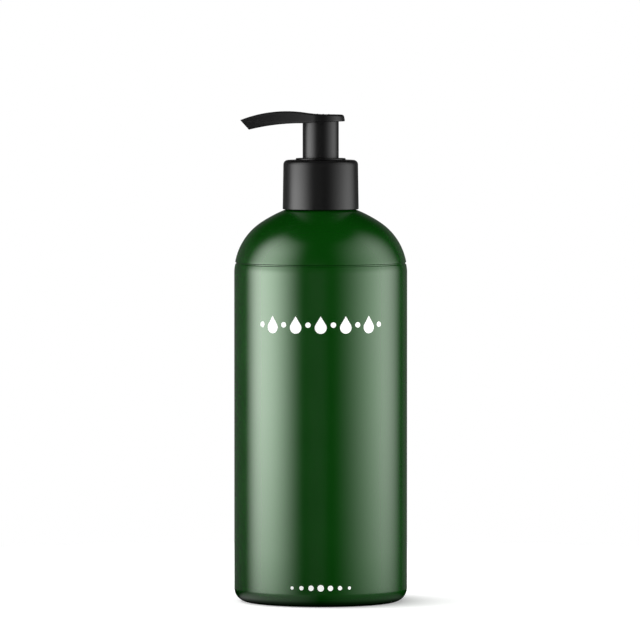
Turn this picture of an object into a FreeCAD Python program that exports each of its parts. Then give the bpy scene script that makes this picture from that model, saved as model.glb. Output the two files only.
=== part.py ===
"""A refillable 500 ml dish soap bottle with a lotion pump, modelled piece by piece in millimetres.

The bottle stands on the plane Z = 0 with its axis on +Z, and the pump's spout points along -X.
"""
import FreeCAD, Part
import math
import os
import Sketcher

# Driving sizes in millimetres, or degrees where the name ends in angle: name, value, what it is.
SIZES = [
    ("body_radius", 35.0, "outer radius of the bottle's straight wall"),
    ("body_wall", 1.0, "blown wall of the bottle"),
    ("base_corner", 5.5, "outer radius between the wall and the standing ring"),
    ("base_ring_width", 3.5, "flat width of the standing ring"),
    ("base_push_up", 2.6, "how far the base is pushed up inside the ring"),
    ("wall_top", 133.35, "height where the straight wall turns into the dome"),
    ("dome_side_radius", 24.36, "profile radius of the dome's lower part"),
    ("dome_side_angle", 56.0, "angle that the dome's lower part turns through"),
    ("dome_top_radius", 52.43, "profile radius of the dome's upper part"),
    ("seam_height", 137.2, "height of the ring groove in the shoulder"),
    ("seam_width", 0.55, "width of the ring groove"),
    ("seam_depth", 0.4, "depth of the ring groove"),
    ("neck_radius", 12.53, "outer radius of the neck at the thread's root"),
    ("neck_bore", 10.8, "inner radius of the neck"),
    ("neck_height", 17.15, "neck from the shoulder under the collar's rim to its top"),
    ("neck_edge", 0.35, "chamfer at the neck's mouth"),
    ("thread_pitch", 4.233, "pitch of the neck thread"),
    ("thread_turns", 1.5, "turns of the neck thread"),
    ("thread_depth", 1.15, "height of the thread's ridge"),
    ("thread_root", 2.0, "width of the ridge at its root"),
    ("thread_crest", 1.0, "width of the ridge at its crest"),
    ("thread_drop", 2.2, "from the neck's mouth down to the top of its thread"),
    ("thread_gap", 0.3, "radial clearance between neck thread and collar"),
    ("thread_play", 0.1, "play along the axis between the two threads"),
    ("collar_top_radius", 15.08, "outer radius of the collar at its top"),
    ("collar_rim_radius", 15.39, "outer radius of the collar at its rim"),
    ("collar_rim_gap", 0.6, "from the shoulder up to the collar's rim"),
    ("collar_web", 1.25, "thickness of the collar's top"),
    ("collar_round", 1.82, "rounding of the collar's top edge"),
    ("collar_lead", 0.5, "chamfer inside the collar's rim"),
    ("turning_gap", 0.1, "play of the pieces that turn on each other"),
    ("gasket_height", 0.9, "thickness of the neck gasket"),
    ("gasket_radius", 13.1, "outer radius of the neck gasket"),
    ("flange_height", 1.1, "thickness of the housing's flange"),
    ("flange_radius", 13.2, "outer radius of the housing's flange"),
    ("barrel_bore", 8.5, "inner radius of the housing's upper barrel"),
    ("barrel_wall", 1.1, "wall of the upper barrel"),
    ("cylinder_bore", 6.0, "inner radius of the pump cylinder"),
    ("cylinder_wall", 1.1, "wall of the pump cylinder"),
    ("floor_gap", 0.75, "room left under the stem's flange when it is pressed"),
    ("retainer_radius", 10.1, "outer radius of the retainer's disc"),
    ("retainer_disc", 0.65, "thickness of the retainer's disc"),
    ("retainer_depth", 10.9, "barrel of the retainer below the collar's top"),
    ("snap_height", 0.8, "height of the retainer's snap bead"),
    ("snap_reach", 0.3, "how far the snap bead stands out"),
    ("snap_drop", 7.0, "from the collar's top down to the snap bead"),
    ("fit_gap", 0.05, "clearance of pieces that are pushed together"),
    ("slide_gap", 0.2, "radial clearance of the pieces that slide"),
    ("skirt_radius", 7.31, "outer radius of the head's visible skirt"),
    ("skirt_wall", 1.3, "wall of the skirt"),
    ("skirt_seat", 1.0, "from the stem's flange up to the skirt's lower end"),
    ("press_stroke", 13.8, "how far the head can be pressed"),
    ("head_gap", 0.43, "room left under the spout when the head is pressed"),
    ("head_height", 2.7, "thickness of the head's thumb rest"),
    ("head_radius", 9.85, "radius of the head around the stem"),
    ("head_draft_angle", 10.0, "draft of the head's sides above and below its widest level"),
    ("head_round", 0.7, "rounding of the head's upper edge"),
    ("spout_reach", 32.5, "from the axis to the spout's upper lip"),
    ("spout_lip_back", 3.5, "how far the lower lip stays behind the upper"),
    ("spout_apex", 14.0, "from the axis to the spout's highest point"),
    ("spout_top_radius", 50.6, "profile radius of the spout's back"),
    ("spout_rise", 1.3, "spout's highest point above the thumb rest"),
    ("spout_under_radius", 88.4, "profile radius of the spout's underside"),
    ("spout_under_drop", 0.67, "underside of the spout below that of the thumb rest"),
    ("spout_tip_half", 2.2, "half width of the spout's plan one lip past its mouth"),
    ("spout_flank_radius", 156.0, "radius of the spout's hollow flanks, seen from above"),
    ("spout_flank_angle", 20.3, "turn past the head's widest point where the flanks start"),
    ("rest_hollow", 6.0, "from the axis to where the spout's back dips to the thumb rest"),
    ("channel_radius", 1.3, "radius of the soap channel in the spout"),
    ("channel_depth", 2.2, "channel's centre below the spout's back"),
    ("grip_rib_radius", 0.45, "radius of the thumb rest's ribs"),
    ("grip_rib_rise", 0.13, "how far the ribs stand up"),
    ("grip_rib_pitch", 2.3, "spacing of the ribs"),
    ("grip_rib_place", 1.3, "from the axis to the rib nearest the spout"),
    ("grip_rib_half", 4.6, "half length of the ribs"),
    ("hub_wall", 1.5, "wall of the socket that holds the stem"),
    ("hub_depth", 12.0, "stem held in the head's socket"),
    ("head_roof", 2.0, "from the thumb rest's underside down to the skirt's inner roof"),
    ("stem_radius", 3.2, "outer radius of the stem"),
    ("stem_bore", 1.4, "radius of the channel in the stem"),
    ("stem_flange_radius", 8.1, "radius of the stem's stop flange"),
    ("stem_flange_height", 1.5, "thickness of the stop flange"),
    ("stem_below", 20.5, "stem below its stop flange"),
    ("outlet_ball_radius", 1.8, "radius of the outlet ball"),
    ("outlet_chamber", 2.15, "radius of the outlet ball's chamber"),
    ("outlet_chamber_depth", 4.6, "depth of the outlet ball's chamber"),
    ("ball_stop_width", 0.8, "thickness of the blade that stops the outlet ball"),
    ("outlet_lift", 1.0, "how far the outlet ball lifts"),
    ("piston_gap", 0.12, "clearance of the piston's lips in the cylinder"),
    ("piston_length", 7.4, "length of the piston's outer sleeve"),
    ("piston_wall", 0.9, "wall of the piston's outer sleeve"),
    ("piston_web", 1.2, "thickness of the piston's web"),
    ("core_radius", 2.5, "outer radius of the piston core's tube"),
    ("core_bore", 1.3, "inner radius of the piston core's tube"),
    ("core_hold", 4.0, "core tube held in the stem's lower end"),
    ("core_grip", 4.0, "room for the piston between stem and core"),
    ("core_foot_radius", 4.6, "radius of the piston core's foot"),
    ("core_foot_height", 2.0, "height of the piston core's foot"),
    ("spring_wire", 0.9, "wire diameter of the return spring"),
    ("spring_radius", 4.0, "mean radius of the return spring"),
    ("spring_turns", 7.5, "turns of the return spring"),
    ("spring_length", 22.5, "fitted length of the return spring"),
    ("inlet_ball_radius", 2.4, "radius of the inlet ball"),
    ("inlet_chamber", 3.1, "radius of the inlet ball's chamber"),
    ("inlet_port", 1.4, "radius of the port under the inlet ball"),
    ("inlet_chamber_height", 7.0, "inlet chamber from the port to the spring's ledge"),
    ("inlet_lift", 1.2, "how far the inlet ball lifts"),
    ("seat_angle", 40.0, "half angle of the ball seats"),
    ("nub_width", 1.2, "width of the nubs that keep the inlet ball"),
    ("tail_wall", 1.2, "wall of the housing's tail"),
    ("tube_radius", 3.0, "outer radius of the dip tube"),
    ("tube_wall", 0.9, "wall of the dip tube"),
    ("tube_socket", 9.0, "dip tube held in the housing's tail"),
    ("tube_foot_gap", 2.6, "from the inside of the base up to the dip tube's end"),
    ("tube_cut_angle", 35.0, "slant of the dip tube's lower end"),
    ("vent_radius", 0.6, "radius of the air vent in the barrel"),
    ("print_thickness", 0.08, "thickness of the printed ink"),
    ("print_height", 113.6, "height of the upper print's middle"),
    ("print_pitch", 10.2, "spacing of the drops, along the wall"),
    ("print_drop_radius", 2.4, "round radius of a printed drop"),
    ("print_drop_height", 7.0, "height of a printed drop"),
    ("print_dot_radius", 1.1, "radius of the dots between the drops"),
    ("foot_print_height", 8.0, "height of the lower print's middle"),
    ("foot_print_pitch", 3.9, "spacing of the lower print's dots, along the wall"),
    ("foot_print_dot", 1.3, "radius of the lower print's middle dot"),
    ("foot_print_step", 0.22, "how much each dot outwards is smaller"),
]
GRIP_RIBS = 3
NUBS = 3
DROPS_EACH_SIDE = 2
FOOT_DOTS_EACH_SIDE = 3

doc = FreeCAD.newDocument("soap_bottle")
sheet = doc.addObject("Spreadsheet::Sheet", "Sizes")
for row, (alias, value, meaning) in enumerate(SIZES, start=1):
    sheet.set(f"A{row}", meaning)
    sheet.set(f"B{row}", str(value))
    sheet.setAlias(f"B{row}", alias)
doc.recompute()


def size(alias):
    """The sheet's cell of that name, as a term of an expression."""
    return f"Sizes.{alias}"


def total(*terms):
    """The sum of some expressions."""
    return "(" + " + ".join(terms) + ")"


def less(first, *terms):
    """The first expression, less the others."""
    return "(" + " - ".join([first, *terms]) + ")"


def number(expression):
    """What an expression comes to now."""
    return float(sheet.evalExpression(expression))


# Heights and places that several pieces share, each worked out from the sheet.
DOME_SIDE_X = less(size("body_radius"), size("dome_side_radius"))
DOME_SIDE_Z = size("wall_top")
DOME_STEP = less(size("dome_top_radius"), size("dome_side_radius"))
DOME_TOP_X = f"({DOME_SIDE_X} - {DOME_STEP} * cos({size('dome_side_angle')}))"
DOME_TOP_Z = f"({DOME_SIDE_Z} - {DOME_STEP} * sin({size('dome_side_angle')}))"


def dome_height(radius, inset="0"):
    """Height of the dome's upper arc at a radius, on the surface that lies inset inside the outer one."""
    reach = less(size("dome_top_radius"), inset)
    return f"({DOME_TOP_Z} + sqrt({reach}^2 - ({radius} - {DOME_TOP_X})^2))"


def side_radius(height):
    """Outer radius of the dome's lower arc at a height."""
    return f"({DOME_SIDE_X} + sqrt({size('dome_side_radius')}^2 - ({height} - {DOME_SIDE_Z})^2))"


SHOULDER = dome_height(size("collar_rim_radius"))
NECK_TOP = total(SHOULDER, size("neck_height"))
GASKET_TOP = total(NECK_TOP, size("gasket_height"))
FLANGE_TOP = total(GASKET_TOP, size("flange_height"))
WEB_BOTTOM = total(FLANGE_TOP, size("turning_gap"))
COLLAR_TOP = total(WEB_BOTTOM, size("collar_web"))
COLLAR_RIM = total(SHOULDER, size("collar_rim_gap"))
RETAINER_DISC_BOTTOM = total(COLLAR_TOP, size("turning_gap"))
RETAINER_TOP = total(RETAINER_DISC_BOTTOM, size("retainer_disc"))
RETAINER_FOOT = less(COLLAR_TOP, size("retainer_depth"))
RETAINER_BARREL = less(size("barrel_bore"), size("fit_gap"))
SNAP_MIDDLE = less(COLLAR_TOP, size("snap_drop"))
STEM_STOP = less(RETAINER_FOOT, size("fit_gap"))
STEM_FLANGE_BOTTOM = less(STEM_STOP, size("stem_flange_height"))
BARREL_FLOOR = less(STEM_FLANGE_BOTTOM, size("press_stroke"), size("floor_gap"))
BARREL_RADIUS = total(size("barrel_bore"), size("barrel_wall"))
CYLINDER_RADIUS = total(size("cylinder_bore"), size("cylinder_wall"))
SKIRT_FOOT = total(STEM_STOP, size("skirt_seat"))
SKIRT_BORE = less(size("skirt_radius"), size("skirt_wall"))
HEAD_BOTTOM = total(RETAINER_TOP, size("press_stroke"), size("head_gap"), size("spout_under_drop"))
REST_TOP = total(HEAD_BOTTOM, size("head_height"))
SPOUT_TOP = total(REST_TOP, size("spout_rise"))
SPOUT_CENTRE = less(SPOUT_TOP, size("spout_top_radius"))
CHANNEL_SWEEP = less(size("spout_top_radius"), size("channel_depth"))
CHANNEL_START = f"({SPOUT_CENTRE} + sqrt({CHANNEL_SWEEP}^2 - {size('spout_apex')}^2))"
SKIRT_ROOF = less(HEAD_BOTTOM, size("head_roof"))
STEM_TOP = less(CHANNEL_START, size("channel_radius"), size("head_height"))
HUB_BORE = total(size("stem_radius"), size("fit_gap"))
HUB_RADIUS = total(HUB_BORE, size("hub_wall"))
HUB_FOOT = less(STEM_TOP, size("hub_depth"))
STEM_FOOT = less(STEM_FLANGE_BOTTOM, size("stem_below"))
CORE_TOP = total(STEM_FOOT, size("core_hold"))
CORE_FOOT_TOP = less(STEM_FOOT, size("core_grip"))
CORE_FOOT = less(CORE_FOOT_TOP, size("core_foot_height"))
SPRING_LEDGE = less(CORE_FOOT, size("spring_length"))
INLET_PORT_TOP = less(SPRING_LEDGE, size("inlet_chamber_height"))
TUBE_TOP = less(INLET_PORT_TOP, size("tail_wall"))
TUBE_SOCKET = total(size("tube_radius"), size("fit_gap"))
TAIL_RADIUS = total(TUBE_SOCKET, size("tail_wall"))
TAIL_FOOT = less(TUBE_TOP, size("tube_socket"))
BASE_INSIDE = total(size("base_push_up"), size("body_wall"))
TUBE_FOOT = total(BASE_INSIDE, size("tube_foot_gap"))


def seat_depth(wide, narrow):
    """Depth of a ball seat's cone between two radii."""
    return f"(({wide} - {narrow}) / tan({size('seat_angle')}))"


def ball_centre(port_top, port, ball):
    """Height of a ball's centre, resting with the fit gap on the cone that starts at its port."""
    apex = f"({port_top} - {port} / tan({size('seat_angle')}))"
    return f"({apex} + ({ball} + {size('fit_gap')}) / sin({size('seat_angle')}))"


INLET_BALL = ball_centre(INLET_PORT_TOP, size("inlet_port"), size("inlet_ball_radius"))
OUTLET_FLOOR = less(STEM_TOP, size("outlet_chamber_depth"))
OUTLET_SEAT = less(OUTLET_FLOOR, seat_depth(size("outlet_chamber"), size("stem_bore")))
OUTLET_BALL = ball_centre(OUTLET_SEAT, size("stem_bore"), size("outlet_ball_radius"))
BALL_STOP = total(OUTLET_BALL, size("outlet_ball_radius"), size("outlet_lift"), size("fit_gap"))


def origin_feature(body, role):
    """An origin plane or axis of a body, found by its role."""
    return next(item for item in body.Origin.OriginFeatures if item.Role == role)


def new_body(name):
    """A body whose label names its file."""
    body = doc.addObject("PartDesign::Body", name)
    body.Label = name
    return body


def place_point(sketch, geometry, point, across, up):
    """Ties one point of a sketch to two expressions, measured from the sketch's origin."""
    for kind, axis, expression in (("DistanceX", -2, across), ("DistanceY", -1, up)):
        if expression == "0":
            sketch.addConstraint(Sketcher.Constraint("PointOnObject", geometry, point, axis))
        else:
            index = sketch.addConstraint(Sketcher.Constraint(kind, geometry, point, number(expression)))
            sketch.setExpression(f"Constraints[{index}]", expression)


def arc_through(start, end, radius, turn):
    """The minor arc between two points. A turn of 1 bends it left on its way, and -1 bends it right."""
    (ax, ay), (bx, by) = start, end
    half = math.hypot(bx - ax, by - ay) / 2
    rise = math.sqrt(max(radius * radius - half * half, 0.0))
    nx, ny = -(by - ay) / (2 * half), (bx - ax) / (2 * half)
    cx, cy = (ax + bx) / 2 + turn * nx * rise, (ay + by) / 2 + turn * ny * rise
    first, last = math.atan2(ay - cy, ax - cx), math.atan2(by - cy, bx - cx)
    if turn < 0:
        first, last = last, first
    circle = Part.Circle(FreeCAD.Vector(cx, cy, 0), FreeCAD.Vector(0, 0, 1), radius)
    return Part.ArcOfCircle(circle, first, last if last > first else last + 2 * math.pi)


def draw_outline(sketch, outline):
    """Draws a closed outline. Each corner is (across, up), and the edge that leaves it is straight,
    or an arc where the corner goes on with a radius and its turn."""
    corners = [(number(corner[0]), number(corner[1])) for corner in outline]
    ends = []
    for index, corner in enumerate(outline):
        start, end = corners[index], corners[(index + 1) % len(corners)]
        if len(corner) == 2:
            line = Part.LineSegment(FreeCAD.Vector(*start, 0), FreeCAD.Vector(*end, 0))
            ends.append((sketch.addGeometry(line), 1, 2))
            continue
        radius, turn = corner[2:]
        edge = sketch.addGeometry(arc_through(start, end, number(radius), turn))
        ends.append((edge, 1, 2) if turn > 0 else (edge, 2, 1))
    for index, (edge, first, last) in enumerate(ends):
        following = ends[(index + 1) % len(ends)]
        sketch.addConstraint(Sketcher.Constraint("Coincident", edge, last, following[0], following[1]))
    for (edge, first, last), corner in zip(ends, outline):
        place_point(sketch, edge, first, corner[0], corner[1])
        if len(corner) == 4:
            index = sketch.addConstraint(Sketcher.Constraint("Radius", edge, number(corner[2])))
            sketch.setExpression(f"Constraints[{index}]", corner[2])


def draw_circle(sketch, across, up, radius):
    """Draws a circle whose centre and radius are expressions."""
    centre = FreeCAD.Vector(number(across), number(up), 0)
    edge = sketch.addGeometry(Part.Circle(centre, FreeCAD.Vector(0, 0, 1), number(radius)))
    place_point(sketch, edge, 3, across, up)
    index = sketch.addConstraint(Sketcher.Constraint("Radius", edge, number(radius)))
    sketch.setExpression(f"Constraints[{index}]", radius)


def body_sketch(body, name, role="XZ_Plane", offset=None):
    """A sketch on one of a body's origin planes, moved off it by an expression where one is given."""
    sketch = body.newObject("Sketcher::SketchObject", name)
    sketch.AttachmentSupport = (origin_feature(body, role), [""])
    sketch.MapMode = "FlatFace"
    if offset:
        sketch.setExpression("AttachmentOffset.Base.z", offset)
    return sketch


def turn_solid(body, name, outline, cut=False):
    """Turns an outline in the XZ plane round the Z axis, as a new solid or as a cut."""
    sketch = body_sketch(body, f"{name}_sketch")
    draw_outline(sketch, outline)
    kind = "PartDesign::Groove" if cut else "PartDesign::Revolution"
    feature = body.newObject(kind, name)
    feature.Profile = sketch
    feature.ReferenceAxis = (sketch, ["V_Axis"])
    feature.Angle = 360
    doc.recompute()
    return feature


def thread_ridge(body, name, root, crest, middle):
    """Adds a right-hand thread ridge, whose lowest turn has its middle at a height."""
    sketch = body_sketch(body, f"{name}_sketch")
    half_root, half_crest = f"({size('thread_root')} / 2)", f"({size('thread_crest')} / 2)"
    draw_outline(sketch, [
        (root, less(middle, half_root)),
        (root, total(middle, half_root)),
        (crest, total(middle, half_crest)),
        (crest, less(middle, half_crest)),
    ])
    ridge = body.newObject("PartDesign::AdditiveHelix", name)
    ridge.Profile = sketch
    ridge.ReferenceAxis = (sketch, ["V_Axis"])
    ridge.Mode = 0
    ridge.setExpression("Pitch", size("thread_pitch"))
    ridge.setExpression("Height", f"({size('thread_pitch')} * {size('thread_turns')})")
    ridge.LeftHanded = False
    ridge.Reversed = False
    doc.recompute()
    return ridge


NECK_THREAD_START = less(
    NECK_TOP, size("thread_drop"), f"({size('thread_pitch')} * {size('thread_turns')})"
)


def make_bottle():
    """The blown bottle: pushed-up base, straight wall, dome with its ring groove, and threaded neck."""
    body = new_body("bottle")
    wall = size("body_wall")
    corner_x = less(size("body_radius"), size("base_corner"))
    ring_x = less(corner_x, size("base_ring_width"))
    corner_inside = less(size("base_corner"), wall)
    push = size("base_push_up")
    turn = size("dome_side_angle")
    blend_x = f"({DOME_SIDE_X} + {size('dome_side_radius')} * cos({turn}))"
    blend_z = f"({DOME_SIDE_Z} + {size('dome_side_radius')} * sin({turn}))"
    side_inside = less(size("dome_side_radius"), wall)
    blend_inside_x = f"({DOME_SIDE_X} + {side_inside} * cos({turn}))"
    blend_inside_z = f"({DOME_SIDE_Z} + {side_inside} * sin({turn}))"
    top_inside = less(size("dome_top_radius"), wall)
    neck_root_x = total(size("neck_radius"), size("body_wall"))
    turn_solid(body, "bottle_shell", [
        ("0", push),
        (less(ring_x, push), push),
        (ring_x, "0"),
        (corner_x, "0", size("base_corner"), 1),
        (size("body_radius"), size("base_corner")),
        (size("body_radius"), DOME_SIDE_Z, size("dome_side_radius"), 1),
        (blend_x, blend_z, size("dome_top_radius"), 1),
        (neck_root_x, dome_height(neck_root_x)),
        (size("neck_radius"), total(dome_height(neck_root_x), wall)),
        (size("neck_radius"), less(NECK_TOP, size("neck_edge"))),
        (less(size("neck_radius"), size("neck_edge")), NECK_TOP),
        (total(size("neck_bore"), size("neck_edge")), NECK_TOP),
        (size("neck_bore"), less(NECK_TOP, size("neck_edge"))),
        (size("neck_bore"), dome_height(size("neck_bore"), wall), top_inside, -1),
        (blend_inside_x, blend_inside_z, side_inside, -1),
        (less(size("body_radius"), wall), DOME_SIDE_Z),
        (less(size("body_radius"), wall), size("base_corner"), corner_inside, -1),
        (corner_x, wall),
        (total(ring_x, f"({wall} / 2)"), wall),
        (less(ring_x, push, f"(-{wall} / 2)"), BASE_INSIDE),
        ("0", BASE_INSIDE),
    ])
    half = f"({size('seam_width')} / 2)"
    middle = size("seam_height")
    outside = total(side_radius(middle), size("body_wall"))
    bottom = less(side_radius(middle), size("seam_depth"))
    turn_solid(body, "shoulder_groove", [
        (outside, less(middle, half)),
        (outside, total(middle, half)),
        (total(bottom, half), total(middle, half), half, 1),
        (bottom, middle, half, 1),
        (total(bottom, half), less(middle, half)),
    ], cut=True)
    neck = size("neck_radius")
    root, crest = less(neck, f"({wall} / 4)"), total(neck, size("thread_depth"))
    body.Tip = thread_ridge(body, "neck_thread", root, crest, NECK_THREAD_START)
    return body


def make_collar():
    """The smooth screw collar, with the inner thread that runs in the neck's."""
    body = new_body("closure_collar")
    bore = f"({size('neck_radius')} + {size('thread_depth')} + {size('thread_gap')})"
    hole = total(RETAINER_BARREL, size("thread_gap"))
    lead = size("collar_lead")
    turn_solid(body, "collar_shell", [
        (total(bore, lead), COLLAR_RIM),
        (size("collar_rim_radius"), COLLAR_RIM),
        (size("collar_top_radius"), less(COLLAR_TOP, size("collar_round")), size("collar_round"), 1),
        (less(size("collar_top_radius"), size("collar_round")), COLLAR_TOP),
        (hole, COLLAR_TOP),
        (hole, WEB_BOTTOM),
        (bore, WEB_BOTTOM),
        (bore, total(COLLAR_RIM, lead)),
    ])
    crest = total(size("neck_radius"), size("thread_gap"))
    under = f"(({size('thread_root')} + {size('thread_crest')}) / 2)"
    middle = less(NECK_THREAD_START, under, size("thread_play"))
    body.Tip = thread_ridge(body, "collar_thread", total(bore, f"({lead} / 4)"), crest, middle)
    return body


def make_gasket():
    """The flat washer between the neck's mouth and the housing's flange."""
    body = new_body("neck_gasket")
    inner = total(BARREL_RADIUS, size("slide_gap"))
    turn_solid(body, "washer", [
        (inner, NECK_TOP),
        (size("gasket_radius"), NECK_TOP),
        (size("gasket_radius"), GASKET_TOP),
        (inner, GASKET_TOP),
    ])
    return body


def make_retainer():
    """The retainer ring on the collar: its barrel snaps into the housing and guides the skirt."""
    body = new_body("retainer_ring")
    bore = total(size("skirt_radius"), size("slide_gap"))
    edge = f"({size('retainer_disc')} / 2)"
    bead, reach = f"({size('snap_height')} / 2)", size("snap_reach")
    turn_solid(body, "retainer", [
        (bore, RETAINER_FOOT),
        (RETAINER_BARREL, RETAINER_FOOT),
        (RETAINER_BARREL, less(SNAP_MIDDLE, bead)),
        (total(RETAINER_BARREL, reach), SNAP_MIDDLE),
        (RETAINER_BARREL, total(SNAP_MIDDLE, bead)),
        (RETAINER_BARREL, RETAINER_DISC_BOTTOM),
        (less(size("retainer_radius"), edge), RETAINER_DISC_BOTTOM, edge, 1),
        (size("retainer_radius"), total(RETAINER_DISC_BOTTOM, edge), edge, 1),
        (less(size("retainer_radius"), edge), RETAINER_TOP),
        (total(bore, f"({edge} / 2)"), RETAINER_TOP),
        (bore, less(RETAINER_TOP, f"({edge} / 2)")),
    ])
    return body


def make_housing():
    """The pump housing: flange, guide barrel, cylinder, ball chamber and the tail that holds the tube."""
    body = new_body("pump_housing")
    wall = size("cylinder_wall")
    bead = f"({size('snap_height')} / 2 + {size('fit_gap')})"
    reach = total(size("snap_reach"), size("fit_gap"))
    ledge_bottom = less(SPRING_LEDGE, wall)
    chamber = size("inlet_chamber")
    seat_top = total(INLET_PORT_TOP, seat_depth(chamber, size("inlet_port")))
    turn_solid(body, "housing_shell", [
        (TUBE_SOCKET, TAIL_FOOT),
        (TAIL_RADIUS, TAIL_FOOT),
        (TAIL_RADIUS, less(ledge_bottom, wall)),
        (CYLINDER_RADIUS, ledge_bottom),
        (CYLINDER_RADIUS, less(BARREL_FLOOR, wall)),
        (BARREL_RADIUS, less(BARREL_FLOOR, wall)),
        (BARREL_RADIUS, GASKET_TOP),
        (size("flange_radius"), GASKET_TOP),
        (size("flange_radius"), FLANGE_TOP),
        (size("barrel_bore"), FLANGE_TOP),
        (size("barrel_bore"), total(SNAP_MIDDLE, bead)),
        (total(size("barrel_bore"), reach), SNAP_MIDDLE),
        (size("barrel_bore"), less(SNAP_MIDDLE, bead)),
        (size("barrel_bore"), BARREL_FLOOR),
        (size("cylinder_bore"), BARREL_FLOOR),
        (size("cylinder_bore"), SPRING_LEDGE),
        (chamber, SPRING_LEDGE),
        (chamber, seat_top),
        (size("inlet_port"), INLET_PORT_TOP),
        (size("inlet_port"), TUBE_TOP),
        (TUBE_SOCKET, TUBE_TOP),
    ])
    ball = size("inlet_ball_radius")
    half, inner = f"({size('nub_width')} / 2)", less(ball, size("fit_gap"), size("slide_gap"))
    rounding = f"sqrt({ball}^2 - {inner}^2)"
    nub_bottom = total(INLET_BALL, rounding, size("inlet_lift"), size("fit_gap"))
    nub_sketch = body_sketch(body, "ball_nub_sketch", "XY_Plane", nub_bottom)
    outer = total(chamber, f"({wall} / 2)")
    draw_outline(nub_sketch, [
        (inner, f"(-{half})"),
        (outer, f"(-{half})"),
        (outer, half),
        (inner, half),
    ])
    nub = body.newObject("PartDesign::Pad", "ball_nub")
    nub.Profile = nub_sketch
    nub.setExpression("Length", f"({size('nub_width')} / 2)")
    doc.recompute()
    pattern = body.newObject("PartDesign::PolarPattern", "ball_nubs")
    pattern.Originals = [nub]
    pattern.Axis = (origin_feature(body, "Z_Axis"), [""])
    pattern.Angle = 360
    pattern.Occurrences = NUBS
    body.Tip = pattern
    doc.recompute()
    vent_sketch = body_sketch(body, "vent_sketch")
    draw_circle(vent_sketch, "0", less(STEM_FLANGE_BOTTOM, size("barrel_wall")), size("vent_radius"))
    vent = body.newObject("PartDesign::Pocket", "air_vent")
    vent.Profile = vent_sketch
    vent.Type = 1
    vent.Midplane = True
    body.Tip = vent
    doc.recompute()
    return body


def make_dip_tube():
    """The straight dip tube, cut on a slant at its foot."""
    body = new_body("dip_tube")
    inner = less(size("tube_radius"), size("tube_wall"))
    top = less(TUBE_TOP, size("fit_gap"))
    tube = turn_solid(body, "tube", [
        (inner, TUBE_FOOT),
        (size("tube_radius"), TUBE_FOOT),
        (size("tube_radius"), top),
        (inner, top),
    ])
    sketch = body_sketch(body, "slant_sketch")
    wide = total(size("tube_radius"), size("tube_wall"))
    rise = f"(2 * {wide} * tan({size('tube_cut_angle')}))"
    draw_outline(sketch, [
        (f"(-{wide})", less(TUBE_FOOT, size("tube_wall"))),
        (wide, less(TUBE_FOOT, size("tube_wall"))),
        (wide, total(TUBE_FOOT, rise)),
    ])
    slant = body.newObject("PartDesign::Pocket", "slant_cut")
    slant.Profile = sketch
    slant.Type = 1
    slant.Midplane = True
    body.Tip = slant
    doc.recompute()
    assert slant.Shape.Volume < tube.Shape.Volume, "the dip tube's slant cut nothing"
    return body


def make_ball(name, radius, centre):
    """A valve ball, resting on its seat."""
    ball = doc.addObject("Part::Sphere", name)
    ball.Label = name
    ball.setExpression("Radius", radius)
    ball.setExpression("Placement.Base.z", centre)
    return ball


def make_spring():
    """The return spring between the housing's ledge and the piston core's foot."""
    wire = f"({size('spring_wire')} / 2)"
    bottom = total(SPRING_LEDGE, wire, size("fit_gap"))
    rise = less(size("spring_length"), size("spring_wire"), size("fit_gap"), size("fit_gap"))
    helix = doc.addObject("Part::Helix", "spring_line")
    helix.setExpression("Radius", size("spring_radius"))
    helix.setExpression("Height", rise)
    helix.setExpression("Pitch", f"({rise} / {size('spring_turns')})")
    helix.setExpression("Placement.Base.z", bottom)
    section = doc.addObject("Part::Circle", "spring_section")
    section.setExpression("Radius", wire)
    section.setExpression("Placement.Base.x", size("spring_radius"))
    section.setExpression("Placement.Base.z", bottom)
    section.Placement.Rotation = FreeCAD.Rotation(FreeCAD.Vector(1, 0, 0), 90)
    spring = doc.addObject("Part::Sweep", "return_spring")
    spring.Sections = [section]
    spring.Spine = (helix, [])
    spring.Solid = True
    spring.Frenet = True
    spring.Label = "return_spring"
    return spring


def make_piston():
    """The soft piston: an outer sleeve with a lip at each end, a web, and a sleeve on the core."""
    body = new_body("piston_seal")
    lip = less(size("cylinder_bore"), size("piston_gap"))
    waist = less(lip, f"({size('piston_wall')} / 3)")
    inside = less(lip, size("piston_wall"))
    inner = total(size("core_radius"), size("fit_gap"))
    grip = total(inner, size("piston_wall"))
    sleeve_bottom = total(CORE_FOOT_TOP, size("fit_gap"))
    sleeve_top = less(STEM_FOOT, size("fit_gap"))
    web_bottom = f"(({sleeve_bottom} + {sleeve_top}) / 2 - {size('piston_web')} / 2)"
    web_top = total(web_bottom, size("piston_web"))
    middle = f"(({sleeve_bottom} + {sleeve_top}) / 2)"
    bottom = f"({middle} - {size('piston_length')} / 2)"
    top = f"({middle} + {size('piston_length')} / 2)"
    flare = size("piston_wall")
    turn_solid(body, "piston", [
        (inner, sleeve_bottom),
        (grip, sleeve_bottom),
        (grip, web_bottom),
        (inside, web_bottom),
        (inside, bottom),
        (lip, bottom),
        (waist, total(bottom, flare)),
        (waist, less(top, flare)),
        (lip, top),
        (inside, top),
        (inside, web_top),
        (grip, web_top),
        (grip, sleeve_top),
        (inner, sleeve_top),
    ])
    return body


def make_core():
    """The piston core: a tube in the stem's lower end, and the foot that the spring pushes."""
    body = new_body("piston_core")
    top = less(CORE_TOP, size("fit_gap"))
    turn_solid(body, "core", [
        (size("core_bore"), CORE_FOOT),
        (size("core_foot_radius"), CORE_FOOT),
        (size("core_foot_radius"), f"(({CORE_FOOT} + {CORE_FOOT_TOP}) / 2)"),
        (size("core_radius"), CORE_FOOT_TOP),
        (size("core_radius"), top),
        (size("core_bore"), top),
    ])
    return body


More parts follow.
